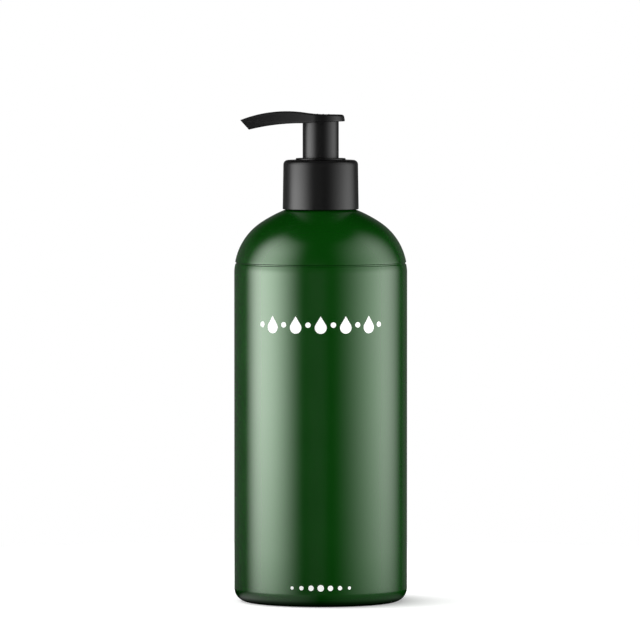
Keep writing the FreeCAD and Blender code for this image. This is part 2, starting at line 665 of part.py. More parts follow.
def make_stem():
    """The hollow stem: outlet ball's chamber at the top, stop flange, and the core's socket below."""
    body = new_body("piston_stem")
    top = less(STEM_TOP, size("fit_gap"))
    socket = total(size("core_radius"), size("fit_gap"))
    turn_solid(body, "stem", [
        (socket, STEM_FOOT),
        (total(size("stem_radius"), size("slide_gap")), STEM_FOOT),
        (size("stem_radius"), CORE_TOP),
        (size("stem_radius"), STEM_FLANGE_BOTTOM),
        (size("stem_flange_radius"), STEM_FLANGE_BOTTOM),
        (size("stem_flange_radius"), STEM_STOP),
        (size("stem_radius"), STEM_STOP),
        (size("stem_radius"), top),
        (size("outlet_chamber"), top),
        (size("outlet_chamber"), OUTLET_FLOOR),
        (size("stem_bore"), OUTLET_SEAT),
        (size("stem_bore"), CORE_TOP),
        (socket, CORE_TOP),
    ])
    return body


def free_sketch(name, side):
    """A sketch outside any body, in the XZ plane where side is true and otherwise in the XY plane."""
    sketch = doc.addObject("Sketcher::SketchObject", name)
    if side:
        sketch.Placement.Rotation = FreeCAD.Rotation(FreeCAD.Vector(1, 0, 0), 90)
    return sketch


def extrude(name, sketch, direction, length, both=False):
    """Extrudes a free sketch along a direction by an expression, to both sides where both is true."""
    extrusion = doc.addObject("Part::Extrusion", name)
    extrusion.Base = sketch
    extrusion.DirMode = "Custom"
    extrusion.Dir = direction
    extrusion.Solid = True
    extrusion.setExpression("LengthFwd", length)
    if both:
        extrusion.setExpression("LengthRev", length)
    return extrusion


def boolean(kind, name, base, tool):
    """A cut or common of two objects."""
    result = doc.addObject(f"Part::{kind}", name)
    result.Base = base
    result.Tool = tool
    return result


def fuse(name, *parts):
    """Several objects as one solid."""
    result = doc.addObject("Part::MultiFuse", name)
    result.Shapes = list(parts)
    result.Refine = True
    return result


def pillar(name, radius, bottom, top):
    """A cylinder on the axis between two heights."""
    shape = doc.addObject("Part::Cylinder", name)
    shape.setExpression("Radius", radius)
    shape.setExpression("Height", less(top, bottom))
    shape.setExpression("Placement.Base.z", bottom)
    return shape


def looks_up(face):
    """Whether a face looks upwards at its middle."""
    return face.normalAt(*face.Surface.parameter(face.CenterOfMass)).z > 0.7


def upper_edges(shape):
    """Numbers of the edges where a shape's upward faces meet its flanks, leaving out those along Y."""
    found = []
    for index, edge in enumerate(shape.Edges, start=1):
        along = edge.tangentAt(edge.FirstParameter)
        sides = [face for face in shape.Faces if any(edge.isSame(other) for other in face.Edges)]
        upward = [face for face in sides if looks_up(face)]
        if len(upward) == 1 and abs(along.y) < 0.999:
            found.append(index)
    return found


def make_head():
    """The pump head: thumb rest, curved spout with its channel, skirt and stem socket, moulded as one."""
    side = free_sketch("head_side", True)
    back = size("spout_top_radius")
    lip_x = f"(-{size('spout_reach')})"
    lip_z = f"({SPOUT_CENTRE} + sqrt({back}^2 - ({size('spout_reach')} - {size('spout_apex')})^2))"
    dip_x = f"(-{size('rest_hollow')})"
    dip_run = less(size("spout_apex"), size("rest_hollow"))
    dip_z = f"({SPOUT_CENTRE} + sqrt({back}^2 - {dip_run}^2))"
    under_x = f"(-{size('skirt_radius')})"
    under_z = less(HEAD_BOTTOM, size("spout_under_drop"))
    under = size("spout_under_radius")
    mouth_x = f"(-({size('spout_reach')} - {size('spout_lip_back')}))"
    mouth_run = f"({size('spout_reach')} - {size('spout_lip_back')} - {size('skirt_radius')})"
    mouth_z = f"({under_z} - ({under} - sqrt({under}^2 - {mouth_run}^2)))"
    far = total(size("head_radius"), size("head_height"))
    dip_drop = less(dip_z, REST_TOP)
    dip_slope = f"({dip_run} / {back})"
    dip_radius = f"({dip_drop} / (1 - sqrt(1 - {dip_slope}^2)))"
    rest_x = f"({dip_x} + {dip_radius} * {dip_slope})"
    draw_outline(side, [
        (lip_x, lip_z),
        (mouth_x, mouth_z, under, -1),
        (under_x, under_z),
        ("0", HEAD_BOTTOM),
        (far, HEAD_BOTTOM),
        (far, REST_TOP),
        (rest_x, REST_TOP, dip_radius, -1),
        (dip_x, dip_z, back, 1),
    ])
    side_solid = extrude("head_side_solid", side, FreeCAD.Vector(0, -1, 0), far, both=True)
    plan = free_sketch("head_plan", False)
    tip_x = f"(-({size('spout_reach')} + {size('spout_lip_back')}))"
    flank_x = f"(-{size('head_radius')} * sin({size('spout_flank_angle')}))"
    flank_y = f"({size('head_radius')} * cos({size('spout_flank_angle')}))"
    draw_outline(plan, [
        (tip_x, f"(-{size('spout_tip_half')})", size("spout_flank_radius"), -1),
        (flank_x, f"(-{flank_y})", size("head_radius"), 1),
        (size("head_radius"), "0", size("head_radius"), 1),
        (flank_x, flank_y, size("spout_flank_radius"), -1),
        (tip_x, size("spout_tip_half")),
    ])
    plan.setExpression("Placement.Base.z", HEAD_BOTTOM)
    spare = size("head_height")
    above = total(spare, size("spout_rise"), spare)
    plan_solid = extrude("head_plan_solid", plan, FreeCAD.Vector(0, 0, 1), above)
    plan_solid.setExpression("LengthRev", total(less(HEAD_BOTTOM, mouth_z), spare))
    plan_solid.setExpression("TaperAngle", f"(-{size('head_draft_angle')})")
    plan_solid.setExpression("TaperAngleRev", f"(-{size('head_draft_angle')})")
    blank = boolean("Common", "head_blank", side_solid, plan_solid)
    doc.recompute()
    rounded = doc.addObject("Part::Fillet", "head_rounded")
    rounded.Base = blank
    radius = number(size("head_round"))
    rounded.Edges = [(index, radius, radius) for index in upper_edges(blank.Shape)]
    rib_parts = []
    for index in range(GRIP_RIBS):
        rib = doc.addObject("Part::Cylinder", f"grip_rib_{index + 1}")
        rib.setExpression("Radius", size("grip_rib_radius"))
        rib.setExpression("Height", f"(2 * {size('grip_rib_half')})")
        rib.Placement.Rotation = FreeCAD.Rotation(FreeCAD.Vector(1, 0, 0), 90)
        rib_x = f"({index} * {size('grip_rib_pitch')} - {size('grip_rib_place')})"
        dip = f"(({rib_x} - {rest_x})^2 / (2 * {dip_radius}))"
        rib.setExpression("Placement.Base.x", rib_x)
        rib.setExpression("Placement.Base.y", size("grip_rib_half"))
        crest = total(REST_TOP, dip, size("grip_rib_rise"))
        rib.setExpression("Placement.Base.z", less(crest, size("grip_rib_radius")))
        rib_parts.append(rib)
    sunk = total(HEAD_BOTTOM, f"({size('head_height')} / 2)")
    skirt_outside = pillar("skirt_outside", size("skirt_radius"), SKIRT_FOOT, sunk)
    skirt_inside = pillar("skirt_inside", SKIRT_BORE, less(SKIRT_FOOT, size("skirt_seat")), SKIRT_ROOF)
    skirt = boolean("Cut", "skirt_tube", skirt_outside, skirt_inside)
    hub = pillar("hub", HUB_RADIUS, HUB_FOOT, sunk)
    outside = fuse("head_outside", rounded, skirt, hub, *rib_parts)
    socket = pillar("stem_socket", HUB_BORE, less(HUB_FOOT, size("hub_wall")), STEM_TOP)
    riser = pillar("riser", size("stem_bore"), less(STEM_TOP, size("fit_gap")), CHANNEL_START)
    channel = doc.addObject("Part::Torus", "spout_channel")
    channel.setExpression("Radius1", CHANNEL_SWEEP)
    channel.setExpression("Radius2", size("channel_radius"))
    behind = f"asin({size('spout_apex')} / {CHANNEL_SWEEP})"
    ahead_run = less(total(size("spout_reach"), size("head_height")), size("spout_apex"))
    ahead = f"asin({ahead_run} / {CHANNEL_SWEEP})"
    channel.setExpression("Angle3", f"({behind} + {ahead})")
    tilt = math.radians(90 - number(behind))
    start = FreeCAD.Vector(math.cos(tilt), 0, math.sin(tilt))
    across = FreeCAD.Vector(0, -1, 0)
    channel.Placement.Rotation = FreeCAD.Rotation(start, across.cross(start), across, "ZXY")
    channel.setExpression("Placement.Base.x", f"(-{size('spout_apex')})")
    channel.setExpression("Placement.Base.z", SPOUT_CENTRE)
    hollow = fuse("head_hollow", socket, riser, channel)
    bored = boolean("Cut", "head_bored", outside, hollow)
    blade = doc.addObject("Part::Box", "ball_stop")
    blade.setExpression("Length", f"(2 * {size('stem_bore')} + {size('fit_gap')})")
    blade.setExpression("Width", size("ball_stop_width"))
    blade.setExpression("Height", less(CHANNEL_START, size("channel_radius"), BALL_STOP))
    blade.setExpression("Placement.Base.x", f"(-{size('stem_bore')} - {size('fit_gap')} / 2)")
    blade.setExpression("Placement.Base.y", f"(-{size('ball_stop_width')} / 2)")
    blade.setExpression("Placement.Base.z", BALL_STOP)
    head = fuse("actuator_head", bored, blade)
    head.Label = "actuator_head"
    return head


def draw_drop(sketch):
    """Draws a drop round the sketch's origin, its point up."""
    drop, half = size("print_drop_radius"), f"({size('print_drop_height')} / 2)"
    centre = less(drop, half)
    lean = f"asin({drop} / ({half} - {centre}))"
    touch_x, touch_z = f"({drop} * cos({lean}))", f"({centre} + {drop} * sin({lean}))"
    draw_outline(sketch, [
        (f"(-{touch_x})", touch_z, drop, 1),
        ("0", f"(-{half})", drop, 1),
        (touch_x, touch_z),
        ("0", half),
    ])


def stamp_mark(name, draw, height, along):
    """Cuts one printed mark through the wall, at a height and a distance along the wall from the front."""
    sketch = free_sketch(f"{name}_sketch", True)
    sketch.setExpression("Placement.Base.z", height)
    draw(sketch)
    stamp = extrude(name, sketch, FreeCAD.Vector(0, -1, 0), total(size("body_radius"), size("body_wall")))
    stamp.Placement.Rotation = FreeCAD.Rotation(FreeCAD.Vector(0, 0, 1), 0)
    stamp.setExpression("Placement.Rotation.Angle", f"({along} / {size('body_radius')} * 180 / pi)")
    return stamp


def make_print():
    """The white ink on the front: a row of drops and dots above, and a row of small dots near the foot."""
    stamps = []
    half_pitch = f"({size('print_pitch')} / 2)"
    for place in range(-2 * DROPS_EACH_SIDE - 1, 2 * DROPS_EACH_SIDE + 2):
        if place % 2 == 0:
            draw = draw_drop
        else:
            def draw(sketch):
                draw_circle(sketch, "0", "0", size("print_dot_radius"))
        along = f"({place} * {half_pitch})"
        stamps.append(stamp_mark(f"mark_{len(stamps)}", draw, size("print_height"), along))
    for place in range(-FOOT_DOTS_EACH_SIDE, FOOT_DOTS_EACH_SIDE + 1):
        radius = less(size("foot_print_dot"), f"({abs(place)} * {size('foot_print_step')})")

        def draw(sketch):
            draw_circle(sketch, "0", "0", radius)
        along = f"({place} * {size('foot_print_pitch')})"
        stamps.append(stamp_mark(f"mark_{len(stamps)}", draw, size("foot_print_height"), along))
    ink = fuse("print_stamps", *stamps)
    outside = total(size("body_radius"), size("print_thickness"))
    low, high = size("base_corner"), size("wall_top")
    film_outside = pillar("film_outside", outside, low, high)
    film_inside = pillar("film_inside", size("body_radius"), low, high)
    film = boolean("Cut", "print_film", film_outside, film_inside)
    marks = boolean("Common", "front_print", ink, film)
    marks.Label = "front_print"
    return marks


def check_and_write(pieces):
    """Stops on any failed object, and otherwise writes each piece's solids to its own file."""
    doc.recompute()
    for item in doc.Objects:
        failed = [state for state in item.State if state in ("Invalid", "Error")]
        assert not failed, f"{item.Name} is {failed}"
    os.makedirs("parts", exist_ok=True)
    for piece in pieces:
        shape = piece.Shape
        assert not shape.isNull() and shape.isValid() and shape.Solids, f"{piece.Label} has no valid solid"
        shape.exportStep(f"parts/{piece.Label}.step")
        print(f"{piece.Label}: {len(shape.Solids)} solids, {shape.Volume / 1000:.3f} cm3")


pieces = [
    make_bottle(),
    make_collar(),
    make_gasket(),
    make_retainer(),
    make_housing(),
    make_dip_tube(),
    make_ball("inlet_ball", size("inlet_ball_radius"), INLET_BALL),
    make_spring(),
    make_piston(),
    make_core(),
    make_stem(),
    make_ball("outlet_ball", size("outlet_ball_radius"), OUTLET_BALL),
    make_head(),
    make_print(),
]
check_and_write(pieces)
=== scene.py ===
import math
import bmesh
import bpy
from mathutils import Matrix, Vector


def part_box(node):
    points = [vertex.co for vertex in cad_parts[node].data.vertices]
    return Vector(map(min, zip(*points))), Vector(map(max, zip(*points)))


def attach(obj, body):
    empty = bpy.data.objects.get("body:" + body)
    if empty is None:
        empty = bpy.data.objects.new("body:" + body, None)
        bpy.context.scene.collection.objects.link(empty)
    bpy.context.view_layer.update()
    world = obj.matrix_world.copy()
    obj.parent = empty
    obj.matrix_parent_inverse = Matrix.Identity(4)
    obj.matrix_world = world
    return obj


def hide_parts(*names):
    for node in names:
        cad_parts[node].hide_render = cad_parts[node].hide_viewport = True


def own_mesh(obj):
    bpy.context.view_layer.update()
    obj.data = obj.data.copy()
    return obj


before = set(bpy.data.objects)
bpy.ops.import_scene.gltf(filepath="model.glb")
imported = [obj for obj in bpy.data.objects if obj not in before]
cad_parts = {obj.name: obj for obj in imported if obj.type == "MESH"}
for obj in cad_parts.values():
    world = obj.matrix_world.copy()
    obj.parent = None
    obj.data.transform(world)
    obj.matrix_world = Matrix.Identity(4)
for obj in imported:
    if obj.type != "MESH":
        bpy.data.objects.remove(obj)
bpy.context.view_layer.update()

bl_info = {
    "name": "Soap bottle dresser",
    "version": (1, 0, 0),
    "blender": (4, 5, 0),
    "location": "View3D > Sidebar > Soap bottle",
    "description": "Turns, moulds and finishes the pieces of a pump soap bottle around its packed model",
    "category": "Add Mesh",
}

MM = 0.001
WHITE = (1.0, 1.0, 1.0, 1.0)
TURN_STEPS = 256
SMALL_TURN_STEPS = 160
ROUND_STEPS = 5
THREAD_STEPS = 72
RUN_IN_STEPS = 8
NOISE_RANGE = (0.3, 0.7)

BOTTLE_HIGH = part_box("bottle")[1]
COLLAR_LOW, COLLAR_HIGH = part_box("closure_collar")
RETAINER_LOW, RETAINER_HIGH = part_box("retainer_ring")
HEAD_LOW, HEAD_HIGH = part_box("actuator_head")
SPRING_LOW, SPRING_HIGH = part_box("return_spring")
PRINT_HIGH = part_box("front_print")[1]


def length(description, metres):
    """A length that a user can change."""
    return bpy.props.FloatProperty(description=description, default=metres, unit="LENGTH", precision=6)


def angle(description, degrees):
    """An angle that a user can change."""
    return bpy.props.FloatProperty(description=description, default=math.radians(degrees), unit="ROTATION")


def tint(description, *colour):
    """A colour that a user can change."""
    return bpy.props.FloatVectorProperty(
        description=description, default=colour, subtype="COLOR", min=0.0, max=1.0
    )


def share(description, value):
    """A share from 0 to 1 that a user can change."""
    return bpy.props.FloatProperty(
        description=description, default=value, subtype="FACTOR", min=0.0, max=1.0
    )


def amount(description, value):
    """A plain number that a user can change."""
    return bpy.props.FloatProperty(description=description, default=value)


def whole(description, value):
    """A whole number that a user can change."""
    return bpy.props.IntProperty(description=description, default=value)


class BottleSizes(bpy.types.PropertyGroup):
    """Sizes of the blown bottle."""

    radius: length("Outer radius of the straight wall", BOTTLE_HIGH.x)
    wall: length("Thickness of the blown wall", 1.0 * MM)
    corner: length("Rounding between the wall and the standing ring", 5.5 * MM)
    ring: length("Flat width of the standing ring", 3.5 * MM)
    push_up: length("How far the base is pushed up inside the ring", 2.6 * MM)
    wall_top: length("Height where the wall turns into the dome", 133.35 * MM)
    side_radius: length("Profile radius of the dome's lower part", 24.36 * MM)
    side_angle: angle("Turn of the dome's lower part", 56.0)
    top_radius: length("Profile radius of the dome's upper part", 52.43 * MM)
    seam_height: length("Height of the ring groove in the shoulder", 137.2 * MM)
    seam_width: length("Width of the ring groove", 0.7 * MM)
    seam_depth: length("Depth of the ring groove", 0.5 * MM)
    seam_ease: length("How far the wall draws in just below the groove", 0.14 * MM)
    seam_lip: length("Rounding of the groove's edges", 0.35 * MM)
    neck_radius: length("Outer radius of the neck", 12.53 * MM)
    neck_bore: length("Inner radius of the neck", 10.8 * MM)
    neck_edge: length("Rounding of the neck's mouth", 0.4 * MM)


class ThreadSizes(bpy.types.PropertyGroup):
    """Sizes of the screw thread between neck and collar."""

    pitch: length("Rise of the thread in one turn", 4.233 * MM)
    turns: amount("Turns of the thread", 1.5)
    depth: length("Height of the ridge", 1.15 * MM)
    root: length("Width of the ridge at its root", 2.0 * MM)
    crest: length("Width of the ridge at its crest", 1.0 * MM)
    drop: length("From the neck's mouth down to the end of its thread", 2.2 * MM)
    gap: length("Radial clearance between the two threads", 0.3 * MM)
    play: length("Play along the axis between the two threads", 0.1 * MM)


class ClosureSizes(bpy.types.PropertyGroup):
    """Sizes of the collar and of the retainer ring on it."""

    top_radius: length("Outer radius of the collar at its top", 15.08 * MM)
    top_round: length("Rounding of the collar's top edge", 1.82 * MM)
    rim_round: length("Rounding of the collar's rim", 0.3 * MM)
    web: length("Thickness of the collar's top", 1.25 * MM)
    hole: length("Radius of the hole in the collar's top", 8.75 * MM)
    lead: length("Chamfer inside the collar's rim", 0.5 * MM)
    disc: length("Thickness of the retainer's disc", 0.65 * MM)
    barrel: length("Outer radius of the retainer's barrel", 8.45 * MM)
    bore: length("Inner radius of the retainer", 7.51 * MM)
    snap_height: length("Height of the snap bead", 0.8 * MM)
    snap_reach: length("How far the snap bead stands out", 0.3 * MM)
    snap_drop: length("From the disc's underside down to the snap bead", 7.1 * MM)


class HeadSizes(bpy.types.PropertyGroup):
    """Sizes of the pump head."""

    thickness: length("Thickness of the thumb rest", 2.7 * MM)
    rise: length("Spout's highest point above the thumb rest", 1.3 * MM)
    draft: angle("Draft of the sides above and below the widest level", 10.0)
    top_round: length("Rounding of the upper edge", 0.7 * MM)
    end_swell: share("Share by which the upper rounding grows towards the rest's end", 0.6)
    under_round: length("Rounding of the lower edge", 0.3 * MM)
    lip_back: length("How far the lower lip stays behind the upper", 3.5 * MM)
    apex: length("From the axis to the spout's highest point", 14.0 * MM)
    back_radius: length("Profile radius of the spout's back", 50.6 * MM)
    under_radius: length("Profile radius of the spout's underside", 88.4 * MM)
    under_drop: length("Underside of the spout below that of the rest", 0.67 * MM)
    tip_half: length("Half width of the flanks one lip past the mouth", 2.2 * MM)
    flank_radius: length("Radius of the hollow flanks, seen from above", 156.0 * MM)
    flank_angle: angle("Turn past the widest point where the flanks start", 20.3)
    hollow: length("From the axis to where the back dips to the rest", 6.0 * MM)
    skirt: length("Outer radius of the skirt", 7.31 * MM)
    skirt_wall: length("Wall of the skirt", 1.3 * MM)
    roof: length("From the rest's underside down to the skirt's roof", 2.0 * MM)
    hub: length("Outer radius of the socket for the stem", 4.75 * MM)
    socket: length("Inner radius of the socket for the stem", 3.25 * MM)
    socket_depth: length("Depth of the socket for the stem", 12.0 * MM)
    channel: length("Radius of the soap channel", 1.3 * MM)
    channel_depth: length("Channel's centre below the spout's back", 2.2 * MM)
    riser: length("Radius of the bore up to the channel", 1.4 * MM)
    rib: length("Radius of the thumb rest's ribs", 0.45 * MM)
    rib_rise: length("How far the ribs stand up", 0.2 * MM)
    rib_pitch: length("Spacing of the ribs", 2.3 * MM)
    rib_place: length("From the axis to the rib nearest the spout", 1.3 * MM)
    rib_half: length("Half length of the ribs", 4.6 * MM)
    ribs: whole("Ribs on the thumb rest", 3)


class SpringSizes(bpy.types.PropertyGroup):
    """Sizes of the return spring."""

    wire: length("Wire diameter", 0.9 * MM)
    turns: amount("All turns with the closed ends", 8.5)
    closed: amount("Closed turns at each end", 1.0)
    stroke: length("How far the head presses the spring", 13.8 * MM)


class PrintSizes(bpy.types.PropertyGroup):
    """Sizes of the printed marks."""

    ink: length("Thickness of the ink", 0.08 * MM)
    pitch: length("Spacing of the drops along the wall", 10.2 * MM)
    drop_radius: length("Round radius of a drop", 2.4 * MM)
    drop_height: length("Height of a drop", 7.0 * MM)
    dot: length("Radius of the dots between the drops", 1.1 * MM)
    each_side: whole("Drops on each side of the front", 2)
    foot_height: length("Height of the lower row's middle", 8.0 * MM)
    foot_pitch: length("Spacing of the lower row", 3.9 * MM)
    foot_dot: length("Radius of the lower row's middle dot", 1.3 * MM)
    foot_step: length("How much each dot outwards is smaller", 0.22 * MM)
    foot_each_side: whole("Lower dots on each side", 3)


class Finishes(bpy.types.PropertyGroup):
    """Colours and gloss of the materials."""

    green: tint("Dyed plastic of the bottle", 0.0015, 0.044, 0.0015)
    green_gloss: share("Roughness of the bottle", 0.2)
    black: tint("Dyed plastic of the closure and head", 0.005, 0.005, 0.005)
    black_gloss: share("Roughness of the closure and head", 0.3)
    ink: tint("White screen ink", 0.93, 0.95, 0.92)
    milky: tint("Undyed plastic of the pump's inner pieces", 0.72, 0.74, 0.72)
    seal: tint("Soft seals", 0.62, 0.62, 0.58)
    steel: tint("Spring and valve balls", 0.56, 0.57, 0.58)


class StageSettings(bpy.types.PropertyGroup):
    """Camera, floor and lights."""

    distance: length("Camera's distance", 3.04)
    lens: amount("Focal length in millimetres", 422.4)
    pitch: angle("How far the camera looks down", 2.63)
    aim: length("Height that the camera looks at", 114.07 * MM)
    shift: length("How far right of the axis the camera looks", -0.28 * MM)
    floor: length("Radius of the floor", 0.32)
    near: length("Radius of the ground that the gloss shows", 65.0 * MM)
    panel_radius: length("Distance of the light panels", 0.45)
    left_glow: amount("Brightness of the left panel", 11.4)
    right_glow: amount("Brightness of the right panel", 6.0)
    key: amount("Power of the soft lamp on the left, in watts", 4.4)
    side: amount("Power of the soft lamp on the right", 5.8)
    front: amount("Power of the soft lamp in front", 8.8)
    fill: amount("Even light from above", 0.2)


def start_alone():
    """Leaves nothing selected, in object mode."""
    if bpy.context.object and bpy.context.object.mode != "OBJECT":
        bpy.ops.object.mode_set(mode="OBJECT")
    bpy.ops.object.select_all(action="DESELECT")


def choose(piece):
    """Makes a piece the only one selected, and the active one."""
    start_alone()
    piece.select_set(True)
    bpy.context.view_layer.objects.active = piece


def settle(piece):
    """Puts a piece's place and turn into its mesh."""
    choose(piece)
    bpy.ops.object.transform_apply(location=True, rotation=True, scale=True)


def soften(piece, degrees=32.0):
    """Shades a piece smooth, apart from its true corners."""
    choose(piece)
    bpy.ops.object.shade_smooth_by_angle(angle=math.radians(degrees))


def face_outwards(piece):
    """Merges a piece's doubles and turns its faces outwards."""
    choose(piece)
    bpy.ops.object.mode_set(mode="EDIT")
    bpy.ops.mesh.select_all(action="SELECT")
    bpy.ops.mesh.remove_doubles(threshold=1e-7)
    bpy.ops.mesh.normals_make_consistent(inside=False)
    bpy.ops.object.mode_set(mode="OBJECT")


def on_circle(centre, radius, turn):
    """The point of a circle about (radius, height) at an angle."""
    return centre[0] + radius * math.cos(turn), centre[1] + radius * math.sin(turn)


def arc(centre, radius, first, last, steps):
    """Points of a circle from one angle to another, with both ends."""
    return [on_circle(centre, radius, first + (last - first) * step / steps) for step in range(steps + 1)]


def rounded(corners, steps=ROUND_STEPS):
    """Rounds an outline's corners (radius, height, rounding). Those of two numbers stay sharp."""
    outline = []
    for index, corner in enumerate(corners):
        if len(corner) == 2:
            outline.append(corner)
            continue
        here = Vector(corner[:2])
        back = (Vector(corners[index - 1][:2]) - here).normalized()
        ahead = (Vector(corners[(index + 1) % len(corners)][:2]) - here).normalized()
        half = back.angle(ahead) / 2
        centre = here + (back + ahead).normalized() * corner[2] / math.sin(half)
        spoke = here + back * corner[2] / math.tan(half) - centre
        first = math.atan2(spoke.y, spoke.x)
        turn = math.pi - 2 * half
        if back.x * ahead.y - back.y * ahead.x > 0:
            turn = -turn
        outline += arc(centre, corner[2], first, first + turn, steps)
    return outline


def turn_outline(name, outline, steps, closed=True):
    """Turns (radius, height) points round the axis. An open outline starts and ends on it."""
    start_alone()
    bpy.ops.mesh.primitive_circle_add(vertices=len(outline), fill_type="NOTHING")
    piece = bpy.context.object
    piece.name = piece.data.name = name
    settle(piece)
    for vertex, (radius, height) in zip(piece.data.vertices, outline):
        vertex.co = (radius, 0, height)
    bpy.ops.object.mode_set(mode="EDIT")
    if not closed:
        mesh = bmesh.from_edit_mesh(piece.data)
        for edge in mesh.edges:
            edge.select_set({vertex.index for vertex in edge.verts} == {0, len(outline) - 1})
        bmesh.update_edit_mesh(piece.data)
        bpy.ops.mesh.delete(type="EDGE_FACE")
    bpy.ops.mesh.select_all(action="SELECT")
    bpy.ops.mesh.spin(steps=steps, angle=2 * math.pi, center=(0, 0, 0), axis=(0, 0, 1))
    bpy.ops.object.mode_set(mode="OBJECT")
    face_outwards(piece)
    return piece


def skin_rings(sections):
    """A new mesh with a ring of points for each section, joined by faces from ring to ring."""
    mesh = bmesh.new()
    rings = [[mesh.verts.new(point) for point in section] for section in sections]
    for lower, upper in zip(rings, rings[1:]):
        for index in range(len(lower)):
            after = (index + 1) % len(lower)
            mesh.faces.new((lower[index], lower[after], upper[after], upper[index]))
    return mesh, rings


def mesh_piece(name, mesh):
    """A piece made of a finished mesh, with its faces outwards."""
    data = bpy.data.meshes.new(name)
    mesh.to_mesh(data)
    mesh.free()
    piece = bpy.data.objects.new(name, data)
    bpy.context.scene.collection.objects.link(piece)
    face_outwards(piece)
    return piece


def join_sections(name, sections):
    """A closed sweep through sections of equally many points."""
    mesh, rings = skin_rings(sections)
    mesh.faces.new(rings[0])
    mesh.faces.new(rings[-1])
    return mesh_piece(name, mesh)


def cylinder(vertices, radius, depth, place, turned=(0, 0, 0)):
    """A plain cylinder, settled in its place."""
    start_alone()
    bpy.ops.mesh.primitive_cylinder_add(
        vertices=vertices, radius=radius, depth=depth, location=place, rotation=turned
    )
    piece = bpy.context.object
    settle(piece)
    return piece


def combine(base, tool, operation):
    """Unites a tool with a base or cuts it out, and removes the tool."""
    choose(base)
    modifier = base.modifiers.new(operation.lower(), "BOOLEAN")
    modifier.operation = operation
    modifier.solver = "EXACT"
    modifier.object = tool
    bpy.ops.object.modifier_apply(modifier=modifier.name)
    bpy.data.objects.remove(tool)


def thread_ridge(name, thread, root, crest, middle):
    """A right-hand thread ridge that starts at +X with its middle at a height and runs in and out."""
    total_steps = round(thread.turns * THREAD_STEPS)
    sections = []
    for step in range(total_steps + 1):
        turn = 2 * math.pi * step / THREAD_STEPS
        height = middle + thread.pitch * step / THREAD_STEPS
        grow = min(1.0, (step + 0.5) / RUN_IN_STEPS, (total_steps - step + 0.5) / RUN_IN_STEPS)
        reach = root + (crest - root) * math.sin(grow * math.pi / 2)
        profile = [
            (root, height - thread.root / 2),
            (reach, height - thread.crest / 2),
            (reach, height + thread.crest / 2),
            (root, height + thread.root / 2),
        ]
        sections.append([(x * math.cos(turn), x * math.sin(turn), z) for x, z in profile])
    return join_sections(name, sections)


def feed(tree, node, values):
    """Fills a node's inputs, by name or number, with plain values or with the sockets that lead there."""
    for name, value in values.items():
        if isinstance(value, bpy.types.NodeSocket):
            tree.links.new(value, node.inputs[name])
        else:
            node.inputs[name].default_value = value


def new_node(tree, kind, values, **settings):
    """A shader node with its settings made and its inputs filled."""
    node = tree.nodes.new("ShaderNode" + kind)
    for setting, value in settings.items():
        setattr(node, setting, value)
    feed(tree, node, values)
    return node


def maths(tree, operation, first, second):
    """The result of an operation on two numbers or sockets."""
    return new_node(tree, "Math", {0: first, 1: second}, operation=operation).outputs["Value"]


def vector_maths(tree, operation, output, values):
    """The result of an operation on vectors."""
    return new_node(tree, "VectorMath", values, operation=operation).outputs[output]


def map_range(tree, source, given, wanted=(0.0, 1.0), easing="LINEAR"):
    """Maps a given range of a socket's values onto the one that is wanted."""
    return new_node(tree, "MapRange", {
        "Value": source,
        "From Min": given[0],
        "From Max": given[1],
        "To Min": wanted[0],
        "To Max": wanted[1],
    }, interpolation_type=easing).outputs["Result"]


def place_in(tree, measure="Object"):
    """The socket that tells a point's place, in the object's own measure or another."""
    return tree.nodes.new("ShaderNodeTexCoord").outputs[measure]


def axes_of(tree, vector):
    """The three sockets of a vector's parts."""
    return new_node(tree, "SeparateXYZ", {"Vector": vector}).outputs


def rays(tree):
    """The sockets that tell the kinds of ray."""
    return tree.nodes.new("ShaderNodeLightPath").outputs


def noise(tree, place, scale, detail):
    """A noise of so many features a metre."""
    return new_node(tree, "TexNoise", {"Vector": place, "Scale": scale, "Detail": detail}).outputs["Fac"]


def level_ramp(tree, source, levels):
    """A grey ramp that gives each listed value of a socket its level, in order."""
    first, last = levels[0][0], levels[-1][0]
    ramp = new_node(tree, "ValToRGB", {"Fac": map_range(tree, source, (first, last))})
    elements = ramp.color_ramp.elements
    while len(elements) < len(levels):
        elements.new(0.5)
    for element, (value, level) in zip(elements, levels):
        element.position = (value - first) / (last - first)
        element.color = (level, level, level, 1.0)
    return ramp.outputs["Color"]


